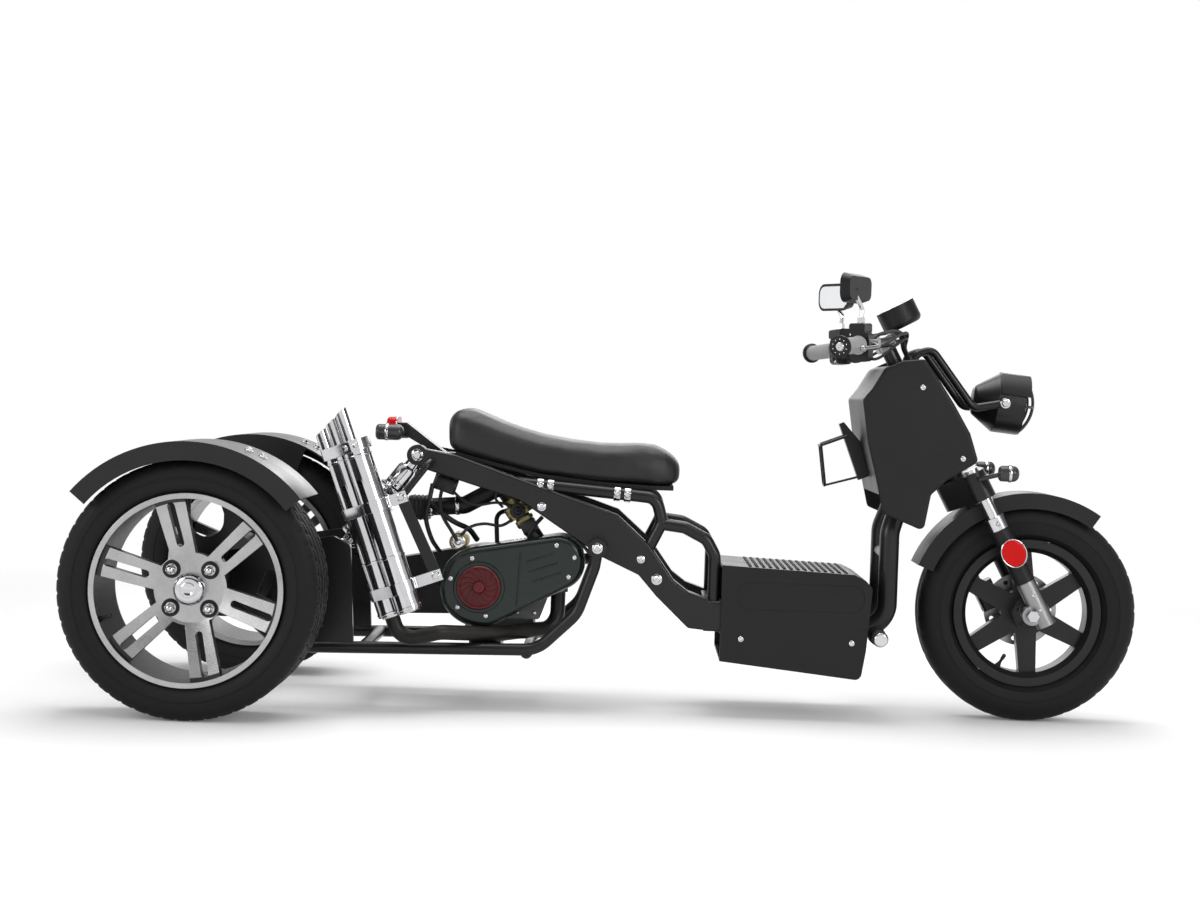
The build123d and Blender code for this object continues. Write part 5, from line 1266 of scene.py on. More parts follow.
@dataclass
class FrontWheelTrim:
    """Small parts on the front wheel: hub cap, disc screws and valve."""

    shop: PaintShop
    hub_half: float = 56.0
    disc_t: float = 4.0
    screws: int = 5
    cap_circle: float = 26.0
    disc_circle: float = 30.0
    well_r: float = 133.0
    valve_y: float = 22.0

    def build(self) -> None:
        """Make the cap, the screws and the valve."""
        centre = STANCE.fore(0, 0, 0)
        right = Side.RIGHT.out
        cap = bmesh.new()
        place = frame_at(centre + right * (self.hub_half * MM), right)
        turn_mm(cap, ((9, 0), (31, 0), (31, 2.4), (29, 3.6), (24, 4), (22, 6), (19, 6.6), (12, 6.6),
                      (11, 5.4), (9, 5.4), (9, 0)), place, 40)
        for at in self._circle(centre, self.cap_circle, 90):
            cap_screw(cap, frame_at(at + right * ((self.hub_half + 3.6) * MM), right), 7.0, 2.4)
        add_mesh("hub_cap", cap, Body.FRONT_WHEEL, self.shop.material("black_alloy"))
        screws = bmesh.new()
        for at in self._circle(centre, self.disc_circle, 54):
            cap_screw(screws, frame_at(at - right * ((self.hub_half + self.disc_t) * MM), -right), 10.0, 4.5)
        add_mesh("disc_screws", screws, Body.FRONT_WHEEL, self.shop.material("bright_chrome"))
        spoke = Vector((-53, 0, -110)).normalized()
        valve = bmesh.new()
        foot = centre + spoke * (self.well_r * MM) + right * (self.valve_y * MM)
        turn_mm(valve, ((0, -1), (7, -1), (6, 4), (4.4, 9), (3.2, 14), (3.2, 22), (4.2, 22.5), (4.2, 32),
                        (3.2, 34), (0, 34.4)), frame_at(foot, right * 0.5 - spoke), 20)
        add_mesh("valve_front", valve, Body.FRONT_WHEEL, self.shop.material("dark_hose"))

    def _circle(self, centre: Vector, radius: float, start: float) -> list[Vector]:
        """Lay out the screws of one circle.

        Args:
            centre: centre of the wheel.
            radius: radius of the circle, in millimetres.
            start: angle of the first screw, in degrees.

        Returns:
            The places of the screws in the wheel's middle plane.
        """
        angles = [math.radians(start + 360 / self.screws * k) for k in range(self.screws)]
        return [centre + Vector((math.cos(a) * radius, 0, math.sin(a) * radius)) * MM for a in angles]


@dataclass
class Headlamp:
    """Glass, reflector and bulb inside the bucket, and the pivot bolts."""

    shop: PaintShop
    at: tuple[float, float] = (142.0, 164.0)
    tilt: float = -6.0
    lens_r: float = 56.0
    pivot_back: float = 44.0
    pivot_y: float = 89.0
    # height of the glass above its rim, where the rim lies, and the wall's thickness
    dome: float = 9.0
    rim_z: float = -6.5
    wall: float = 1.6
    # radius that the flutes of the reflector add, in metres
    flute: float = 0.0009

    def build(self) -> None:
        """Make the glass, the reflector, the bulb and the bolts."""
        face = STANCE.head(self.at[0], 0, self.at[1])
        ahead = Vector((math.cos(math.radians(self.tilt)), 0, math.sin(math.radians(self.tilt))))
        place = frame_at(face, ahead)
        r = self.lens_r
        glass = bmesh.new()
        angles = [math.radians(90 - 6 * k) for k in range(15)]
        outer = [(r * math.sin(a), self.rim_z + self.dome * math.cos(a)) for a in angles]
        inner = [(q * 0.985, h - self.wall) for q, h in reversed(outer)]
        turn_mm(glass, [(r, -8.0)] + outer + [(0, 2.5), (0, 0.9)] + inner + [(r * 0.985, -8.0), (r, -8.0)],
                place, 64)
        add_mesh("lamp_glass", glass, Body.CHASSIS, self.shop.material("clear_lens"),
                 replaces=("headlamp_lens",))
        dish = bmesh.new()
        turn_mm(dish, ((55.5, -8.2), (54, -7.6), (50, -8.6), (42, -10.4), (32, -12.0), (22, -13.0),
                       (12, -13.4), (9, -13.2), (8, -11), (0, -11)), place, 64,
                lambda row, k: self.flute if 1 < row < 6 and k % 4 < 2 else 0.0)
        turn_mm(dish, ((0, -12), (6, -12), (7.6, -9), (7.6, -6), (6, -3.6), (3, -2.4), (0, -2.1)), place, 28)
        add_mesh("lamp_reflector", dish, Body.CHASSIS, self.shop.material("bright_chrome"))
        bolts = bmesh.new()
        for side in Side:
            at = face - ahead * (self.pivot_back * MM) + Vector((0, side.value * self.pivot_y * MM, 0))
            hex_bolt(bolts, frame_at(at, side.out, 8), 17.0, 8.0, 11.0)
        add_mesh("lamp_bolts", bolts, Body.CHASSIS, self.shop.material("bright_chrome"))


@dataclass
class Cockpit:
    """Ribbed grips, dial, mirror glass, keys and knobs around the handlebar."""

    shop: PaintShop
    outer: tuple[float, float, float] = (-285.0, -375.0, 272.0)
    inner: tuple[float, float, float] = (-204.0, -180.0, 284.0)
    grip_l: float = 125.0
    grip_r: float = 17.0
    rib_pitch: float = 4.6
    end_dots: int = 10
    dot_circle: float = 15.0
    knob_r: float = 7.4
    dial_at: tuple[float, float, float] = (37.0, 0.0, 676.3)
    dial_rise: float = 45.0
    dial_marks: int = 25
    dial_sweep: tuple[float, float] = (-40.0, 260.0)
    needle_turn: float = 212.0
    glass_size: tuple[float, float, float] = (108.0, 51.0, 18.0)
    # where a cable leaves its housing, how far it rises and reaches out, and its radius
    cables: Sequence[tuple[tuple[float, float, float], float, float, float]] = (
        ((-12, 12, 166), 20, 62, 3.2), ((-26, 4, 166), -6, 46, 3.2), ((6, 10, 166), 34, 40, 4.0),
    )

    def build(self) -> None:
        """Make every small part of the cockpit."""
        self._grips()
        self._dial()
        self._mirrors()
        self._keys()
        self._cables()

    def _line(self, side: Side) -> Matrix:
        """Place a frame at a grip's outer end: X up, Y ahead, Z inward.

        Args:
            side: right or left.

        Returns:
            The placing; on the left it is the right one mirrored across the middle.
        """
        out, inn = STANCE.head(*self.outer), STANCE.head(*self.inner)
        z = (inn - out).normalized()
        x = (Vector((0, 0, 1)) - z * z.z).normalized()
        y = z.cross(x)
        right = Matrix.Translation(out) @ Matrix((x, y, z)).transposed().to_4x4()
        return right if side is Side.RIGHT else MIRROR @ right

    def _grips(self) -> None:
        """Make the ribbed grips, their flanged ends with bright plugs, and the levers' knobs."""
        rubber, plugs, balls, ends = bmesh.new(), bmesh.new(), bmesh.new(), bmesh.new()
        r = self.grip_r
        for side in Side:
            place = self._line(side)
            profile = [(0, -6.0), (14, -6.2), (20, -6.0), (22, -4.5), (22, -0.5), (20.5, 1.6), (r - 0.4, 2.2)]
            h = 4.0
            while h < self.grip_l - 14:
                profile += [(r - 1.2, h), (r - 1.2, h + 1.6), (r + 0.2, h + 2.0), (r + 0.2, h + 4.2)]
                h += self.rib_pitch
            profile += [(r - 0.6, self.grip_l - 10), (r + 2.6, self.grip_l - 9), (r + 2.6, self.grip_l - 7),
                        (13, self.grip_l - 6.5), (0, self.grip_l - 6.5)]
            turn_mm(rubber, profile, place, 40)
            turn_mm(plugs, ((0, -5.5), (8.5, -5.5), (8.5, -8), (7.5, -9), (3, -9.2), (2.4, -8), (0, -8)),
                    place, 28)
            turn_mm(ends, ((8.6, -6.0), (12, -7.0), (20.4, -6.8), (22.8, -5.0), (22.8, -0.2), (20.6, 2.2),
                           (18.2, 3.4), (18.2, 0.0), (8.6, 0.0), (8.6, -6.0)), place, 40)
            for k in range(self.end_dots):
                a = 2 * math.pi * k / self.end_dots
                dot = shifted(place, math.cos(a) * self.dot_circle, math.sin(a) * self.dot_circle, -6.8)
                turn_mm(plugs, ((0, 0.6), (1.4, 0.4), (1.2, -0.8), (0, -1.0)), dot, 10)
            steps = [math.radians(15 * k) for k in range(13)]
            lathe(balls, [(self.knob_r * math.sin(a) * MM, -self.knob_r * math.cos(a) * MM) for a in steps],
                  shifted(place, -4, 44, 11), 20)
        add_mesh("grip_sleeves", rubber, Body.STEERING, self.shop.material("grip_rubber"),
                 replaces=("grips",))
        add_mesh("grip_ends", ends, Body.STEERING, self.shop.material("panel_plastic"))
        add_mesh("grip_plugs", plugs, Body.STEERING, self.shop.material("bright_chrome"))
        add_mesh("lever_knobs", balls, Body.STEERING, self.shop.material("cast_alloy"))

    def _dial(self) -> None:
        """Make the dial plate, its marks, the needle and the bezel."""
        up = STANCE.fork_up
        place = frame_at(STANCE.fork(*self.dial_at) + up * (self.dial_rise * MM), up)
        face = bmesh.new()
        turn_mm(face, ((0, -0.6), (38.6, -0.6), (38.6, 0.5), (37.5, 0.9), (0, 0.9)), place, 56)
        add_mesh("dial_plate", face, Body.STEERING, self.shop.material("dial_black"))
        bezel = bmesh.new()
        turn_mm(bezel, ((39.2, 1.2), (43.6, 2.4), (45, 3.2), (44.4, 4.6), (41.5, 5.0), (38.8, 3.0),
                        (39.2, 1.2)), place, 56)
        add_mesh("dial_bezel", bezel, Body.STEERING, self.shop.material("bright_chrome"))
        marks = bmesh.new()
        start, sweep = self.dial_sweep
        for k in range(self.dial_marks):
            spoke = place @ Matrix.Rotation(math.radians(start + sweep * k / (self.dial_marks - 1)), 4, "Z")
            size = (8.0, 1.5, 0.5) if k % 4 == 0 else (4.5, 0.8, 0.5)
            slab(marks, shifted(spoke, 33.5 - size[0] / 2, 0, 1.1), size, 0.15)
        add_mesh("dial_marks", marks, Body.STEERING, self.shop.material("mark_white"))
        needle = bmesh.new()
        pointer = place @ Matrix.Rotation(math.radians(self.needle_turn), 4, "Z")
        slab(needle, shifted(pointer, 10, 0, 2.2), (34, 1.7, 0.7), 0.2)
        turn_mm(needle, ((0, 0.8), (5, 0.8), (5, 2.6), (3.8, 3.6), (0, 3.8)), place, 24)
        add_mesh("dial_needle", needle, Body.STEERING, self.shop.material("fan_red"))

    def _mirrors(self) -> None:
        """Lay the silvered glass on both mirror heads."""
        glass = bmesh.new()
        foot = self._line(Side.RIGHT) @ (Vector((45.3, -6, self.grip_l + 30)) * MM)
        head = foot + Vector((-20, -16, 66)) * MM
        at = head + Vector((0, 24, 6)) * MM
        x, z = Vector((0.5, 0.86, 0)).normalized(), Vector((-0.86, 0.5, 0)).normalized()
        right = Matrix.Translation(at + z * (0.2 * MM)) @ Matrix((x, z.cross(x), z)).transposed().to_4x4()
        for place in (right, MIRROR @ right):
            plate(glass, place, round_outline(*self.glass_size, 8), 1.4)
        add_mesh("mirror_glass", glass, Body.STEERING, self.shop.material("mirror_silver"))

    def _cables(self) -> None:
        """Loop the control cables and the wiring from the housings to the head's upper end."""
        mesh = bmesh.new()
        for side in Side:
            line = self._line(side)
            inward = line.to_3x3() @ Vector((0, 0.25, 1))
            for start, lift, reach, r in self.cables:
                first = line @ (Vector(start) * MM)
                knots = [
                    first,
                    first + inward * 0.05 + Vector((0, 0, lift * 0.5)) * MM,
                    STANCE.fork(reach * 0.5, side.value * 40, 655 + lift * 0.4),
                    STANCE.fork(15, side.value * 17, 628),
                    STANCE.fork(13, side.value * (6 + reach * 0.12), 568),
                ]
                sweep_line(mesh, smooth_line(knots, 9), r * MM, 8)
        add_mesh("control_cables", mesh, Body.STEERING, self.shop.material("dark_hose"))

    def _keys(self) -> None:
        """Make the switch keys and the screws on the control housings."""
        red, grey, screws = bmesh.new(), bmesh.new(), bmesh.new()
        for side in Side:
            line = self._line(side)
            back = shifted(line, 0, -20.2, 0)
            slab(red if side is Side.RIGHT else grey, shifted(back, 10, 0, 144), (11, 5, 18), 1.4)
            slab(grey, shifted(back, -8, 0, 144), (9, 4.4, 14), 1.4)
            slab(grey, shifted(back, -23, 0, 144), (8, 6, 8), 1.4)
            for x, z in ((21, 132), (-30, 156)):
                spot = shifted(line, x, -20, z) @ Matrix.Rotation(math.radians(90), 4, "X")
                cap_screw(screws, spot, 6.0, 2.4)
        for y in (-24, 24):
            cap_screw(screws, frame_at(STANCE.fork(-30, y, 676), STANCE.fork_up), 11.0, 6.0)
        add_mesh("keys_red", red, Body.STEERING, self.shop.material("fan_red"))
        add_mesh("keys_grey", grey, Body.STEERING, self.shop.material("signal_shell"))
        add_mesh("cockpit_screws", screws, Body.STEERING, self.shop.material("bright_chrome"))


@dataclass
class EngineTrim:
    """Fan wheel, shroud seam, covers, plug cap, clamps and screws on the engine."""

    shop: PaintShop
    crank: tuple[float, float] = (562.0, -1.0)
    cylinder_end: tuple[float, float] = (728.0, 56.0)
    shroud_y: float = -158.0
    fan_r: float = 46.0
    blades: int = 14
    hub_r: float = 13.0
    blade_sweep: float = 0.55
    belt_end: tuple[float, float] = (376.0, -22.0)
    drive_y: float = 146.0
    chain_y: float = 156.0
    # points from the rear axle, then the radius
    looms: Sequence[tuple[Sequence[tuple[float, float, float]], float]] = (
        (((470, -96, 236), (500, -104, 196), (540, -112, 172), (590, -104, 178), (622, -88, 172)), 3.0),
        (((636, -97, 161), (650, -112, 178), (632, -118, 204), (600, -112, 206), (588, -104, 188),
          (604, -96, 168)), 3.0),
        (((512, -132, 92), (498, -138, 116), (476, -124, 150), (470, -108, 190), (486, -100, 232)), 4.0),
        (((512, -128, 100), (536, -126, 124), (566, -112, 132), (600, -92, 128), (624, -82, 140)), 3.4),
        (((444, -84, 170), (470, -92, 152), (500, -84, 132), (530, -60, 116), (548, -40, 92)), 6.0),
        (((690, -96, 150), (672, -104, 128), (664, -102, 104), (690, -84, 92), (716, -60, 100)), 4.5),
        (((700, -106, 182), (716, -104, 150), (752, -84, 120), (782, -40, 84), (800, -6, 58)), 3.6),
        (((452, -104, 214), (446, -112, 176), (440, -108, 140), (452, -96, 96), (470, -80, 66)), 5.0),
    )
    # placing from the rear axle, tilt, size and edge of each small electric block
    blocks: Sequence[tuple[tuple[float, float, float], float, tuple[float, float, float], float]] = (
        ((478, -92, 214), 18.0, (46, 30, 30), 4.0), ((478, -92, 214), 18.0, (52, 12, 34), 2.0),
        ((662, -84, 128), -28.0, (34, 40, 30), 4.0),
    )

    def build(self) -> None:
        """Make every small part of the engine."""
        self._fan()
        self._shroud()
        self._covers()
        self._intake()
        self._wiring()

    def _fan(self) -> None:
        """Make the fan wheel with swept blades inside its ring."""
        mesh = bmesh.new()
        place = frame_at(STANCE.aft(self.crank[0], self.shroud_y, self.crank[1]), Side.RIGHT.out)
        r = self.fan_r
        turn_mm(mesh, ((0, 0.2), (r, 0.2), (r, 8.5), (r - 1.5, 10), (r - 4, 10), (r - 5, 8.5), (r - 5, 1.8),
                       (14, 1.8), (13, 7), (11, 9), (6, 9.6), (5, 8.4), (0, 8.4)), place, 56)
        for k in range(self.blades):
            turn = Matrix.Rotation(2 * math.pi * k / self.blades, 4, "Z")
            line = []
            for step in range(7):
                t = step / 6
                a = self.blade_sweep * t * t
                q = self.hub_r + (r - 4.6 - self.hub_r) * t
                line.append(Vector((q * math.cos(a), q * math.sin(a), 0)) * MM)
            blade(mesh, place @ turn, line, 1.1 * MM, 1.6 * MM, 7.6 * MM)
        add_mesh("fan_wheel", mesh, Body.CHASSIS, self.shop.material("fan_red"), replaces=("fan_cover",))

    def _shroud(self) -> None:
        """Make the shroud's seam, its rolled ring around the fan and its screws."""
        out, y = Side.RIGHT.out, self.shroud_y
        ring = bmesh.new()
        place = frame_at(STANCE.aft(self.crank[0], y, self.crank[1]), out)
        turn_mm(ring, ((48, -0.5), (55, -0.5), (55, 2.2), (53.5, 4.6), (50.5, 5.6), (48, 4.8), (48, -0.5)),
                place, 64)
        seam = [STANCE.aft(*p) for p in ((641, -104, -52), (641, -138, -52), (642, -152, -47),
                                         (643, -157.8, -36), (646, -158, 20), (648, -157.8, 72),
                                         (649, -152, 85), (649, -138, 91), (649, -104, 91))]
        sweep_line(ring, seam, 2.0 * MM, 8)
        tip, crank = self.cylinder_end, self.crank
        along = (STANCE.aft(tip[0], 0, tip[1]) - STANCE.aft(crank[0], 0, crank[1])).normalized()
        for off in (-22.0, 0.0, 22.0):
            side = Vector((-along.z, 0, along.x)) * (off * MM)
            start = STANCE.aft(668, y - 0.2, 35.4) + side
            sweep_line(ring, [start, start + along * (38 * MM), start + along * (64 * MM)], 1.9 * MM, 8)
        add_mesh("shroud_ribs", ring, Body.CHASSIS, self.shop.material("shroud_green"))
        screws = bmesh.new()
        for x, z in self._ring(crank, 63, (105, 165, 225, 285)) + self._ring(tip, 38, (-50, 20, 95)):
            cap_screw(screws, frame_at(STANCE.aft(x, y, z), out), 11.0, 4.0)
        for x in (550, 596, 642, 680):
            cap_screw(screws, frame_at(STANCE.aft(x, -90, -58), out), 9.0, 4.0)
        add_mesh("engine_screws", screws, Body.CHASSIS, self.shop.material("bright_chrome"))

    def _covers(self) -> None:
        """Make the round covers and screws of the drive on the left."""
        left = Side.LEFT.out
        lids, screws = bmesh.new(), bmesh.new()
        for at, r, y in ((self.crank, 52.0, self.drive_y), (self.belt_end, 34.0, self.chain_y)):
            place = frame_at(STANCE.aft(at[0], y, at[1]), left)
            turn_mm(lids, ((0, -0.6), (r, -0.6), (r, 3), (r - 2, 5), (r - 10, 5), (r - 12, 3.4),
                           (r * 0.45, 3.4), (r * 0.4, 6.5), (r * 0.3, 7.5), (0, 7.8)), place, 56)
            for x, z in self._ring(at, r - 6, (0, 60, 120, 180, 240, 300)):
                cap_screw(screws, frame_at(STANCE.aft(x, y + 5, z), left), 8.0, 3.4)
        for x, z in self._ring(self.crank, 60, (80, 130, 290)):
            cap_screw(screws, frame_at(STANCE.aft(x, self.drive_y, z), left), 9.0, 4.0)
        for x, z in ((90, 46), (190, 36), (90, -52), (190, -62), (-46, 0)):
            cap_screw(screws, frame_at(STANCE.aft(x, self.chain_y - 0.2, z), left), 9.0, 4.0)
        add_mesh("drive_lids", lids, Body.CHASSIS, self.shop.material("black_alloy"))
        starter = frame_at(STANCE.aft(512, -130, 92), -left)
        turn_mm(screws, ((0, -0.4), (15, -0.4), (15, 1), (13, 2), (7, 2.2), (6, 5), (4.5, 6), (0, 6.2)),
                starter, 32)
        for dx in (-10.5, 10.5):
            cap_screw(screws, frame_at(STANCE.aft(512 + dx, -131.6, 92), -left), 6.0, 2.4)
        add_mesh("drive_screws", screws, Body.CHASSIS, self.shop.material("bright_chrome"))

    def _wiring(self) -> None:
        """Run the loom, the fuel hose, the vacuum hose and the cables around the carburettor."""
        mesh = bmesh.new()
        for route, r in self.looms:
            sweep_line(mesh, smooth_line([STANCE.aft(*p) for p in route], 10), r * MM, 8)
        add_mesh("engine_wiring", mesh, Body.CHASSIS, self.shop.material("dark_hose"))
        coil = bmesh.new()
        for at, tilt, size, edge in self.blocks:
            place = Matrix.Translation(STANCE.aft(*at)) @ Matrix.Rotation(math.radians(tilt), 4, "Y")
            slab(coil, place, size, edge)
        add_mesh("ignition_blocks", coil, Body.CHASSIS, self.shop.material("black_alloy"))

    def _intake(self) -> None:
        """Make the carburettor's caps and screw, the hose bands, the filter's ribs and the plug cap."""
        brass, dark, bands = bmesh.new(), bmesh.new(), bmesh.new()
        right = Side.RIGHT.out
        turn_mm(dark, ((0, -0.5), (17, -0.5), (17, 6), (15.5, 8), (9, 8.6), (8, 12), (6, 14), (0, 14.2)),
                frame_at(STANCE.aft(636, -83, 161), right), 36)
        turn_mm(brass, ((0, -2), (5, -2), (5, 6), (4, 7), (1.2, 7), (1.2, 6), (0, 6)),
                frame_at(STANCE.aft(620, -80, 150), right), 16)
        turn_mm(brass, ((0, -3), (14, -3), (15, 0), (15, 10), (12, 15), (5, 16), (4.5, 20), (0, 20)),
                frame_at(STANCE.aft(646, -60, 138), Vector((0.35, 0, -1))), 32)
        down = (STANCE.aft(422, -60, 160) - STANCE.aft(520, -60, 168)).normalized()
        for t in (8, 66):
            turn_mm(bands, ((18.6, -4), (20.2, -4), (20.6, -3), (20.6, 3), (20.2, 4), (18.6, 4), (18.6, -4)),
                    frame_at(STANCE.aft(512, -60, 167.3) + down * (t * MM), down), 40)
        for k in range(4):
            loop = [STANCE.aft(408 + 9 * k, -60 + y, 160 + z) for y, z in round_outline(84.6, 50.6, 14, 6)]
            sweep_line(dark, loop, 1.6 * MM, 6, True)
        turn_mm(dark, ((0, -1), (12, -1), (12, 8), (10, 10), (9, 22), (7.5, 26), (5.6, 27), (0, 27)),
                frame_at(STANCE.aft(780, 0, 56), Vector((1, 0, 0.07))), 28)
        add_mesh("intake_brass", brass, Body.CHASSIS, self.shop.material("olive_cast"))
        add_mesh("intake_caps", dark, Body.CHASSIS, self.shop.material("dark_hose"))
        add_mesh("hose_bands", bands, Body.CHASSIS, self.shop.material("bright_chrome"))

    @staticmethod
    def _ring(at: tuple[float, float], radius: float, angles: Sequence[float]) -> list[tuple[float, float]]:
        """Lay out points around a centre.

        Args:
            at: the centre, from the rear axle.
            radius: radius of the circle.
            angles: angle of each point, in degrees.

        Returns:
            The points, from the rear axle.
        """
        turns = [math.radians(a) for a in angles]
        return [(at[0] + radius * math.cos(a), at[1] + radius * math.sin(a)) for a in turns]


@dataclass
class ExhaustTrim:
    """Clamp bolts, collar bolts and end rings on the mufflers."""

    shop: PaintShop
    low: tuple[float, float, float] = (424.0, -254.0, -46.0)
    high: tuple[float, float, float] = (298.0, -254.0, 298.0)
    twins: Sequence[tuple[float, float]] = ((0.0, 0.0), (-37.0, -43.0))
    bolts: Sequence[tuple[float, float]] = ((74.0, 50.0), (56.0, 229.0))
    shell_r: float = 28.0
    rings: Sequence[float] = (6.0, 118.0, 340.0)
    collar: float = 362.0
    collar_r: float = 33.6
    collar_shifts: Sequence[float] = (6.0, -18.0)

    def build(self) -> None:
        """Make the bolts and the rings."""
        low, high = STANCE.aft(*self.low), STANCE.aft(*self.high)
        along = (high - low).normalized()
        out = Side.RIGHT.out
        ahead = along.cross(out)
        mesh = bmesh.new()
        for reach, rise in self.bolts:
            at = low + ahead * (reach * MM) + along * (rise * MM) + out * (-17 * MM)
            hex_bolt(mesh, frame_at(at, out, 10), 15.0, 8.0, 9.5)
            hex_bolt(mesh, frame_at(at - out * (12.6 * MM), -out, 10), 13.0, 7.0, 8.5)
        for shift in self.collar_shifts:
            lean = math.sqrt(34.0**2 - shift**2)
            normal = (out * lean + ahead * shift).normalized()
            at = low + along * (self.collar * MM) + normal * (self.collar_r * MM)
            hex_bolt(mesh, frame_at(at, normal, 5), 11.0, 6.0, 7.0)
        r = self.shell_r
        bead = ((r - 0.6, -3.2), (r + 0.9, -2.4), (r + 1.5, 0.0), (r + 0.9, 2.4), (r - 0.6, 3.2),
                (r - 0.6, -3.2))
        for dx, dy in self.twins:
            centre = low + out * (dx * MM) + ahead * (dy * MM)
            for rise in self.rings:
                turn_mm(mesh, bead, frame_at(centre + along * (rise * MM), along), 56)
            turn_mm(mesh, ((17.0, 1.0), (17.0, -4.0), (20.5, -4.0), (21.5, -2.6), (22.5, 1.0), (17.0, 1.0)),
                    frame_at(centre, along), 40)
        add_mesh("exhaust_fittings", mesh, Body.CHASSIS, self.shop.material("bright_chrome"))


@dataclass
class Panels:
    """Screws, floor mat, lamp bezels and peg rubbers on the outer panels."""

    shop: PaintShop
    shield_screws: Sequence[tuple[float, float]] = ((-90.0, 196.0), (0.0, 48.0))
    floor_screws: Sequence[tuple[float, float]] = ((1123.0, -92.0), (1359.0, -93.0))
    fender_angles: Sequence[float] = (118.0, 70.0, 64.0)
    mat_ribs: int = 15
    # rear and front end of the floor mat, from the rear axle: x, z
    mat_ends: tuple[tuple[float, float], tuple[float, float]] = ((1132.0, 61.8), (1352.0, 53.3))
    mat_tilt: float = 2.2
    fender_r: float = 299.0
    peg_steps: Sequence[float] = (14.0, 30.0, 46.0, 62.0)

    def build(self) -> None:
        """Make every small part of the panels."""
        self._screws()
        self._mat()
        self._pegs()
        self._lamps()

    def _screws(self) -> None:
        """Make the screws of the shield and the floor box, and the bolts of the rear fenders."""
        screws = bmesh.new()
        for side in Side:
            for x, z in self.shield_screws:
                cap_screw(screws, frame_at(STANCE.head(x, side.value * 172, z), side.out), 13.0, 4.5)
            for x, z in self.floor_screws:
                cap_screw(screws, frame_at(STANCE.aft(x, side.value * 160, z), side.out), 14.0, 5.0)
            for a in self.fender_angles:
                ray = Vector((math.cos(math.radians(a)), 0, math.sin(math.radians(a))))
                at = STANCE.aft(0, side.value * 400, 0) + ray * (self.fender_r * MM)
                hex_bolt(screws, frame_at(at, ray), 14.0, 7.0, 10.0)
        add_mesh("panel_screws", screws, Body.CHASSIS, self.shop.material("bright_chrome"))

    def _mat(self) -> None:
        """Make the ribs of the floor mat."""
        mat = bmesh.new()
        (x0, z0), (x1, z1) = self.mat_ends
        tilt = Matrix.Rotation(math.radians(self.mat_tilt), 4, "Y")
        for k in range(self.mat_ribs):
            t = (k + 0.5) / self.mat_ribs
            x, z = x0 + (x1 - x0) * t, z0 + (z1 - z0) * t
            place = Matrix.Translation(STANCE.aft(x, 0, z + 0.6)) @ tilt
            slab(mat, place, (6.5, 284, 3.0), 1.0)
        add_mesh("floor_ribs", mat, Body.CHASSIS, self.shop.material("mat_rubber"))

    def _pegs(self) -> None:
        """Make the rubber rings on the foot pegs."""
        rubber = bmesh.new()
        for side in Side:
            at = Vector((STANCE.fore(-331, 0, 0).x, side.value * 112 * MM, STANCE.aft(0, 0, -81).z))
            for h in self.peg_steps:
                turn_mm(rubber, ((14.8, h - 4.5), (16.4, h - 4), (17, h - 2), (17, h + 2), (16.4, h + 4),
                                 (14.8, h + 4.5), (14.8, h - 4.5)), frame_at(at, side.out), 32)
        add_mesh("peg_rings", rubber, Body.CHASSIS, self.shop.material("dark_hose"))

    def _lamps(self) -> None:
        """Make the bezels of the signals, the reflectors and the tail lamp."""
        front, rear = bmesh.new(), bmesh.new()
        ring = ((16.4, -3.5), (18.0, -3.0), (18.6, -1.6), (18.6, 1.6), (18.0, 3.0), (16.4, 3.5), (16.4, -3.5))
        ahead = Vector((1, 0, 0))
        long_, wide = STANCE.fork_up, STANCE.fork_ahead
        for side in Side:
            root = STANCE.fork(24, side.value * 118, 316)
            turn_mm(front, ring, frame_at(root + Vector((58, side.value * 46, 15)) * MM, ahead), 36)
            turn_mm(rear, ring, frame_at(STANCE.aft(350, side.value * 104, 322), ahead), 36)
            at = STANCE.fork(22, side.value * 120.5, 140)
            turns = [2 * math.pi * k / 40 for k in range(40)]
            loop = [at + long_ * (30.4 * MM * math.cos(a)) + wide * (26.4 * MM * math.sin(a)) for a in turns]
            sweep_line(front, loop, 1.5 * MM, 8, True)
        add_mesh("front_bezels", front, Body.STEERING, self.shop.material("bright_chrome"))
        loop = [STANCE.aft(364, y, 332 + z) for y, z in round_outline(97, 45, 14.5, 6)]
        sweep_line(rear, loop, 1.8 * MM, 8, True)
        add_mesh("rear_bezels", rear, Body.CHASSIS, self.shop.material("bright_chrome"))


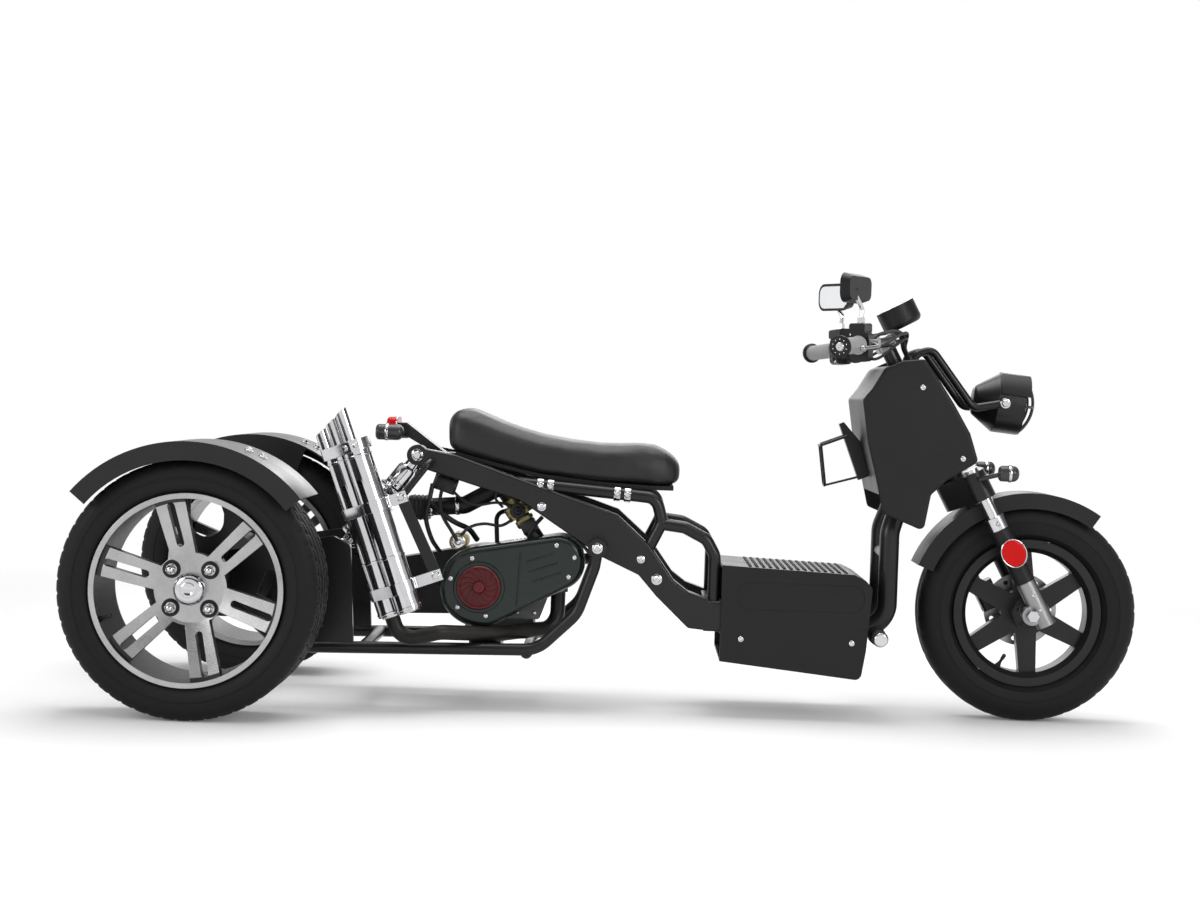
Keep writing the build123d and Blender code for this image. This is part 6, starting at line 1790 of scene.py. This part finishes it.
@dataclass
class Fasteners:
    """Frame bolts, seat tube clamps, caliper bolts and fork screws."""

    shop: PaintShop
    # from the rear axle: x, y, z, then width of the head
    frame_bolts: Sequence[tuple[float, float, float, float]] = (
        (421, 155, 276, 18.0), (812, 185, 92, 16.0), (940, 155, 28, 16.0), (905, 155, 70, 12.0),
        (690, 155, 175, 13.0),
    )
    # clamps on the seat's side tubes, from the rear axle: x, z
    clamps: Sequence[tuple[float, float]] = ((696.0, 219.7), (861.0, 206.7))
    # on the brake caliper: across and along the fork
    caliper_bolts: Sequence[tuple[float, float]] = ((-63.0, 42.0), (-41.0, 42.0), (-52.0, 80.0))

    def build(self) -> None:
        """Make each group of fasteners."""
        bright = self.shop.material("bright_chrome")
        mesh = bmesh.new()
        run = Vector((394, 0, -31)).normalized()
        band = ((13.1, -7), (15.4, -7), (16, -6), (16, 6), (15.4, 7), (13.1, 7), (13.1, -7))
        for side in Side:
            out = side.out
            for x, y, z, across in self.frame_bolts:
                at = STANCE.aft(x, side.value * y, z)
                hex_bolt(mesh, frame_at(at, out, 12), across, across * 0.45, across * 0.72)
            for x, z in self.clamps:
                for shift in (-11.0, 11.0):
                    at = STANCE.aft(x, side.value * 135, z) + run * (shift * MM)
                    turn_mm(mesh, band, frame_at(at, run), 36)
                    hex_bolt(mesh, frame_at(at + out * (15.8 * MM), out, 20), 11.0, 6.0, 6.5)
        add_mesh("frame_bolts", mesh, Body.CHASSIS, bright)
        fork = bmesh.new()
        for u, w in self.caliper_bolts:
            hex_bolt(fork, frame_at(STANCE.fork(u, 81, w), Side.LEFT.out, 15), 11.0, 6.0, 6.5)
        for side in Side:
            cap_screw(fork, frame_at(STANCE.fork(20, side.value * 115, 211), side.out), 11.0, 6.0)
            for w in (4.0, 40.0):
                cap_screw(fork, frame_at(STANCE.fork(20, side.value * 113, w), side.out), 8.0, 3.0)
        add_mesh("fork_bolts", fork, Body.STEERING, bright)


@dataclass
class Studio:
    """Plain pale floor, soft light and the photograph's camera."""

    place: Vector = field(default_factory=lambda: Vector((0.0163, -5.0849, 0.6828)))
    yaw: float = 0.01373
    pitch: float = 0.0245
    roll: float = 0.0336
    lens: float = 69.53
    room: float = 0.5
    # height of a direction, and how bright the room is there
    bands: Sequence[tuple[float, float]] = ((0.0, 1.0), (0.26, 1.0), (0.36, 0.10), (0.62, 0.06), (0.72, 0.8),
                                            (1.0, 0.9))
    # share of plain white on the floor near the object, and where it grows to all white
    near_share: float = 0.1
    near: float = 1.3
    far: float = 4.0
    floor_half: float = 30.0
    floor_tone: float = 0.86
    floor_drop: float = 0.0005
    sensor: float = 36.0
    target: Vector = field(default_factory=lambda: Vector((0.0, 0.0, 0.4)))
    # name, place, size and power of each lamp
    lamps: Sequence[tuple[str, tuple[float, float, float], float, float]] = (
        ("overhead", (0.0, 0.5, 3.6), 2.8, 100.0),
        ("front_side", (2.6, -3.2, 1.9), 1.6, 55.0),
        ("rear_side", (-3.0, -2.6, 1.7), 1.6, 45.0),
        ("far_side", (0.4, 3.4, 2.2), 2.4, 45.0),
    )

    def build(self) -> None:
        """Make the camera, the lamps, the world and the floor."""
        self._camera()
        self._world()
        self._lamps()
        self._floor()
        bpy.context.scene.view_settings.view_transform = "Standard"

    def _camera(self) -> None:
        """Stand the camera where the photograph was taken."""
        data = bpy.data.cameras.new("camera")
        data.lens = self.lens
        data.sensor_width = self.sensor
        camera = bpy.data.objects.new("camera", data)
        bpy.context.scene.collection.objects.link(camera)
        cy, sy = math.cos(self.yaw), math.sin(self.yaw)
        cp, sp = math.cos(self.pitch), math.sin(self.pitch)
        cr, sr = math.cos(self.roll), math.sin(self.roll)
        ahead, right, up = Vector((-sy, cy, 0)), Vector((cy, sy, 0)), Vector((0, 0, 1))
        look = ahead * cp - up * sp
        rise = up * cp + ahead * sp
        across = right * cr + rise * sr
        over = rise * cr - right * sr
        turn = Matrix((across, over, -look)).transposed().to_4x4()
        camera.matrix_world = Matrix.Translation(self.place) @ turn
        bpy.context.scene.camera = camera

    @staticmethod
    def _seen(tree: bpy.types.NodeTree) -> bpy.types.NodeSocket:
        """Mark the rays that show a surface: seen directly, mirrored or through glass.

        Args:
            tree: node tree that takes the nodes.

        Returns:
            The mask's socket.
        """
        path = _node(tree, "ShaderNodeLightPath")
        both = _math(tree, "ADD", path.outputs["Is Camera Ray"], path.outputs["Is Glossy Ray"], clamp=True)
        return _math(tree, "ADD", both, path.outputs["Is Transmission Ray"], clamp=True)

    def _world(self) -> None:
        """Light the room evenly; show white walls, and a dark band below a bright ceiling."""
        world = bpy.data.worlds.new("studio")
        bpy.context.scene.world = world
        world.use_nodes = True
        tree = world.node_tree
        tree.nodes.clear()
        out = _node(tree, "ShaderNodeOutputWorld")
        light = _set(_node(tree, "ShaderNodeBackground"), Color=(1.0, 1.0, 1.0, 1.0), Strength=self.room)
        back = _set(_node(tree, "ShaderNodeBackground"), Strength=1.0)
        place = _node(tree, "ShaderNodeTexCoord")
        split = _node(tree, "ShaderNodeSeparateXYZ")
        tree.links.new(place.outputs["Generated"], split.inputs[0])
        bands = _node(tree, "ShaderNodeValToRGB")
        ramp = bands.color_ramp
        ramp.elements[0].position, ramp.elements[1].position = self.bands[0][0], self.bands[-1][0]
        for at, _ in self.bands[1:-1]:
            ramp.elements.new(at)
        for stop, (_, level) in zip(ramp.elements, self.bands):
            stop.color = (level, level, level, 1.0)
        tree.links.new(split.outputs["Z"], bands.inputs[0])
        tree.links.new(bands.outputs[0], back.inputs["Color"])
        mix = _node(tree, "ShaderNodeMixShader")
        tree.links.new(self._seen(tree), mix.inputs[0])
        tree.links.new(light.outputs[0], mix.inputs[1])
        tree.links.new(back.outputs[0], mix.inputs[2])
        tree.links.new(mix.outputs[0], out.inputs["Surface"])

    def _lamps(self) -> None:
        """Hang a broad soft lamp above and three at the sides."""
        for name, at, size, power in self.lamps:
            data = bpy.data.lights.new(name, "AREA")
            data.shape = "SQUARE"
            data.size = size
            data.energy = power
            lamp = bpy.data.objects.new(name, data)
            bpy.context.scene.collection.objects.link(lamp)
            lamp.location = at
            lamp.rotation_mode = "QUATERNION"
            lamp.rotation_quaternion = (self.target - Vector(at)).to_track_quat("-Z", "Y")

    def _floor(self) -> None:
        """Lay a wide pale floor that keeps the shadow."""
        mesh = bmesh.new()
        bmesh.ops.create_grid(mesh, x_segments=1, y_segments=1, size=self.floor_half)
        data = bpy.data.meshes.new("floor")
        mesh.to_mesh(data)
        mesh.free()
        floor = bpy.data.objects.new("floor", data)
        bpy.context.scene.collection.objects.link(floor)
        material = bpy.data.materials.new("studio_floor")
        material.use_nodes = True
        tree = material.node_tree
        tree.nodes.clear()
        out = _node(tree, "ShaderNodeOutputMaterial")
        plain = _node(tree, "ShaderNodeBsdfDiffuse")
        plain.inputs["Color"].default_value = (self.floor_tone, self.floor_tone, self.floor_tone, 1.0)
        white = _set(_node(tree, "ShaderNodeEmission"), Color=(1.0, 1.0, 1.0, 1.0), Strength=1.0)
        place = _node(tree, "ShaderNodeNewGeometry")
        away = _node(tree, "ShaderNodeVectorMath", operation="LENGTH")
        tree.links.new(place.outputs["Position"], away.inputs[0])
        far = _set(_node(tree, "ShaderNodeMapRange", interpolation_type="SMOOTHSTEP"),
                   From_Min=self.near, From_Max=self.far, To_Min=self.near_share, To_Max=1.0)
        tree.links.new(away.outputs["Value"], far.inputs["Value"])
        mix = _node(tree, "ShaderNodeMixShader")
        tree.links.new(_math(tree, "MULTIPLY", self._seen(tree), far.outputs["Result"]), mix.inputs[0])
        tree.links.new(plain.outputs[0], mix.inputs[1])
        tree.links.new(white.outputs[0], mix.inputs[2])
        tree.links.new(mix.outputs[0], out.inputs["Surface"])
        data.materials.append(material)
        floor.location.z = -self.floor_drop


def main() -> None:
    """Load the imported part, dress it and set the studio."""
    logging.basicConfig(level=logging.INFO, format="%(message)s", stream=sys.stdout)
    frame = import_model()
    Studio().build()
    shop = PaintShop(frame["nodes"])
    shop.paint_all()
    Saddle(shop).build()
    for side in Side:
        Tyre(shop, f"tyre_{side.tag}", f"rear_tyre_{side.tag}", side.wheel, STANCE.rear_axle(side),
             STANCE.rear_r, half_w=104.0, bead_r=195.4, bead_y=90.0, pitches=56, grooves=(18.0, 54.0)).build()
        RearWheelTrim(shop, side).build()
        Shock(shop, side).build()
    Tyre(shop, "tyre_front", "front_tyre", Body.FRONT_WHEEL, STANCE.fore(0, 0, 0), STANCE.front_r,
         half_w=60.0, bead_r=160.4, bead_y=36.0, pitches=36, grooves=(0.0,), depth=4.0, shoulder=36.0).build()
    for assembly in (FrontWheelTrim, Headlamp, Cockpit, EngineTrim, ExhaustTrim, Panels, Fasteners):
        assembly(shop).build()


if __name__ == "__main__":
    main()
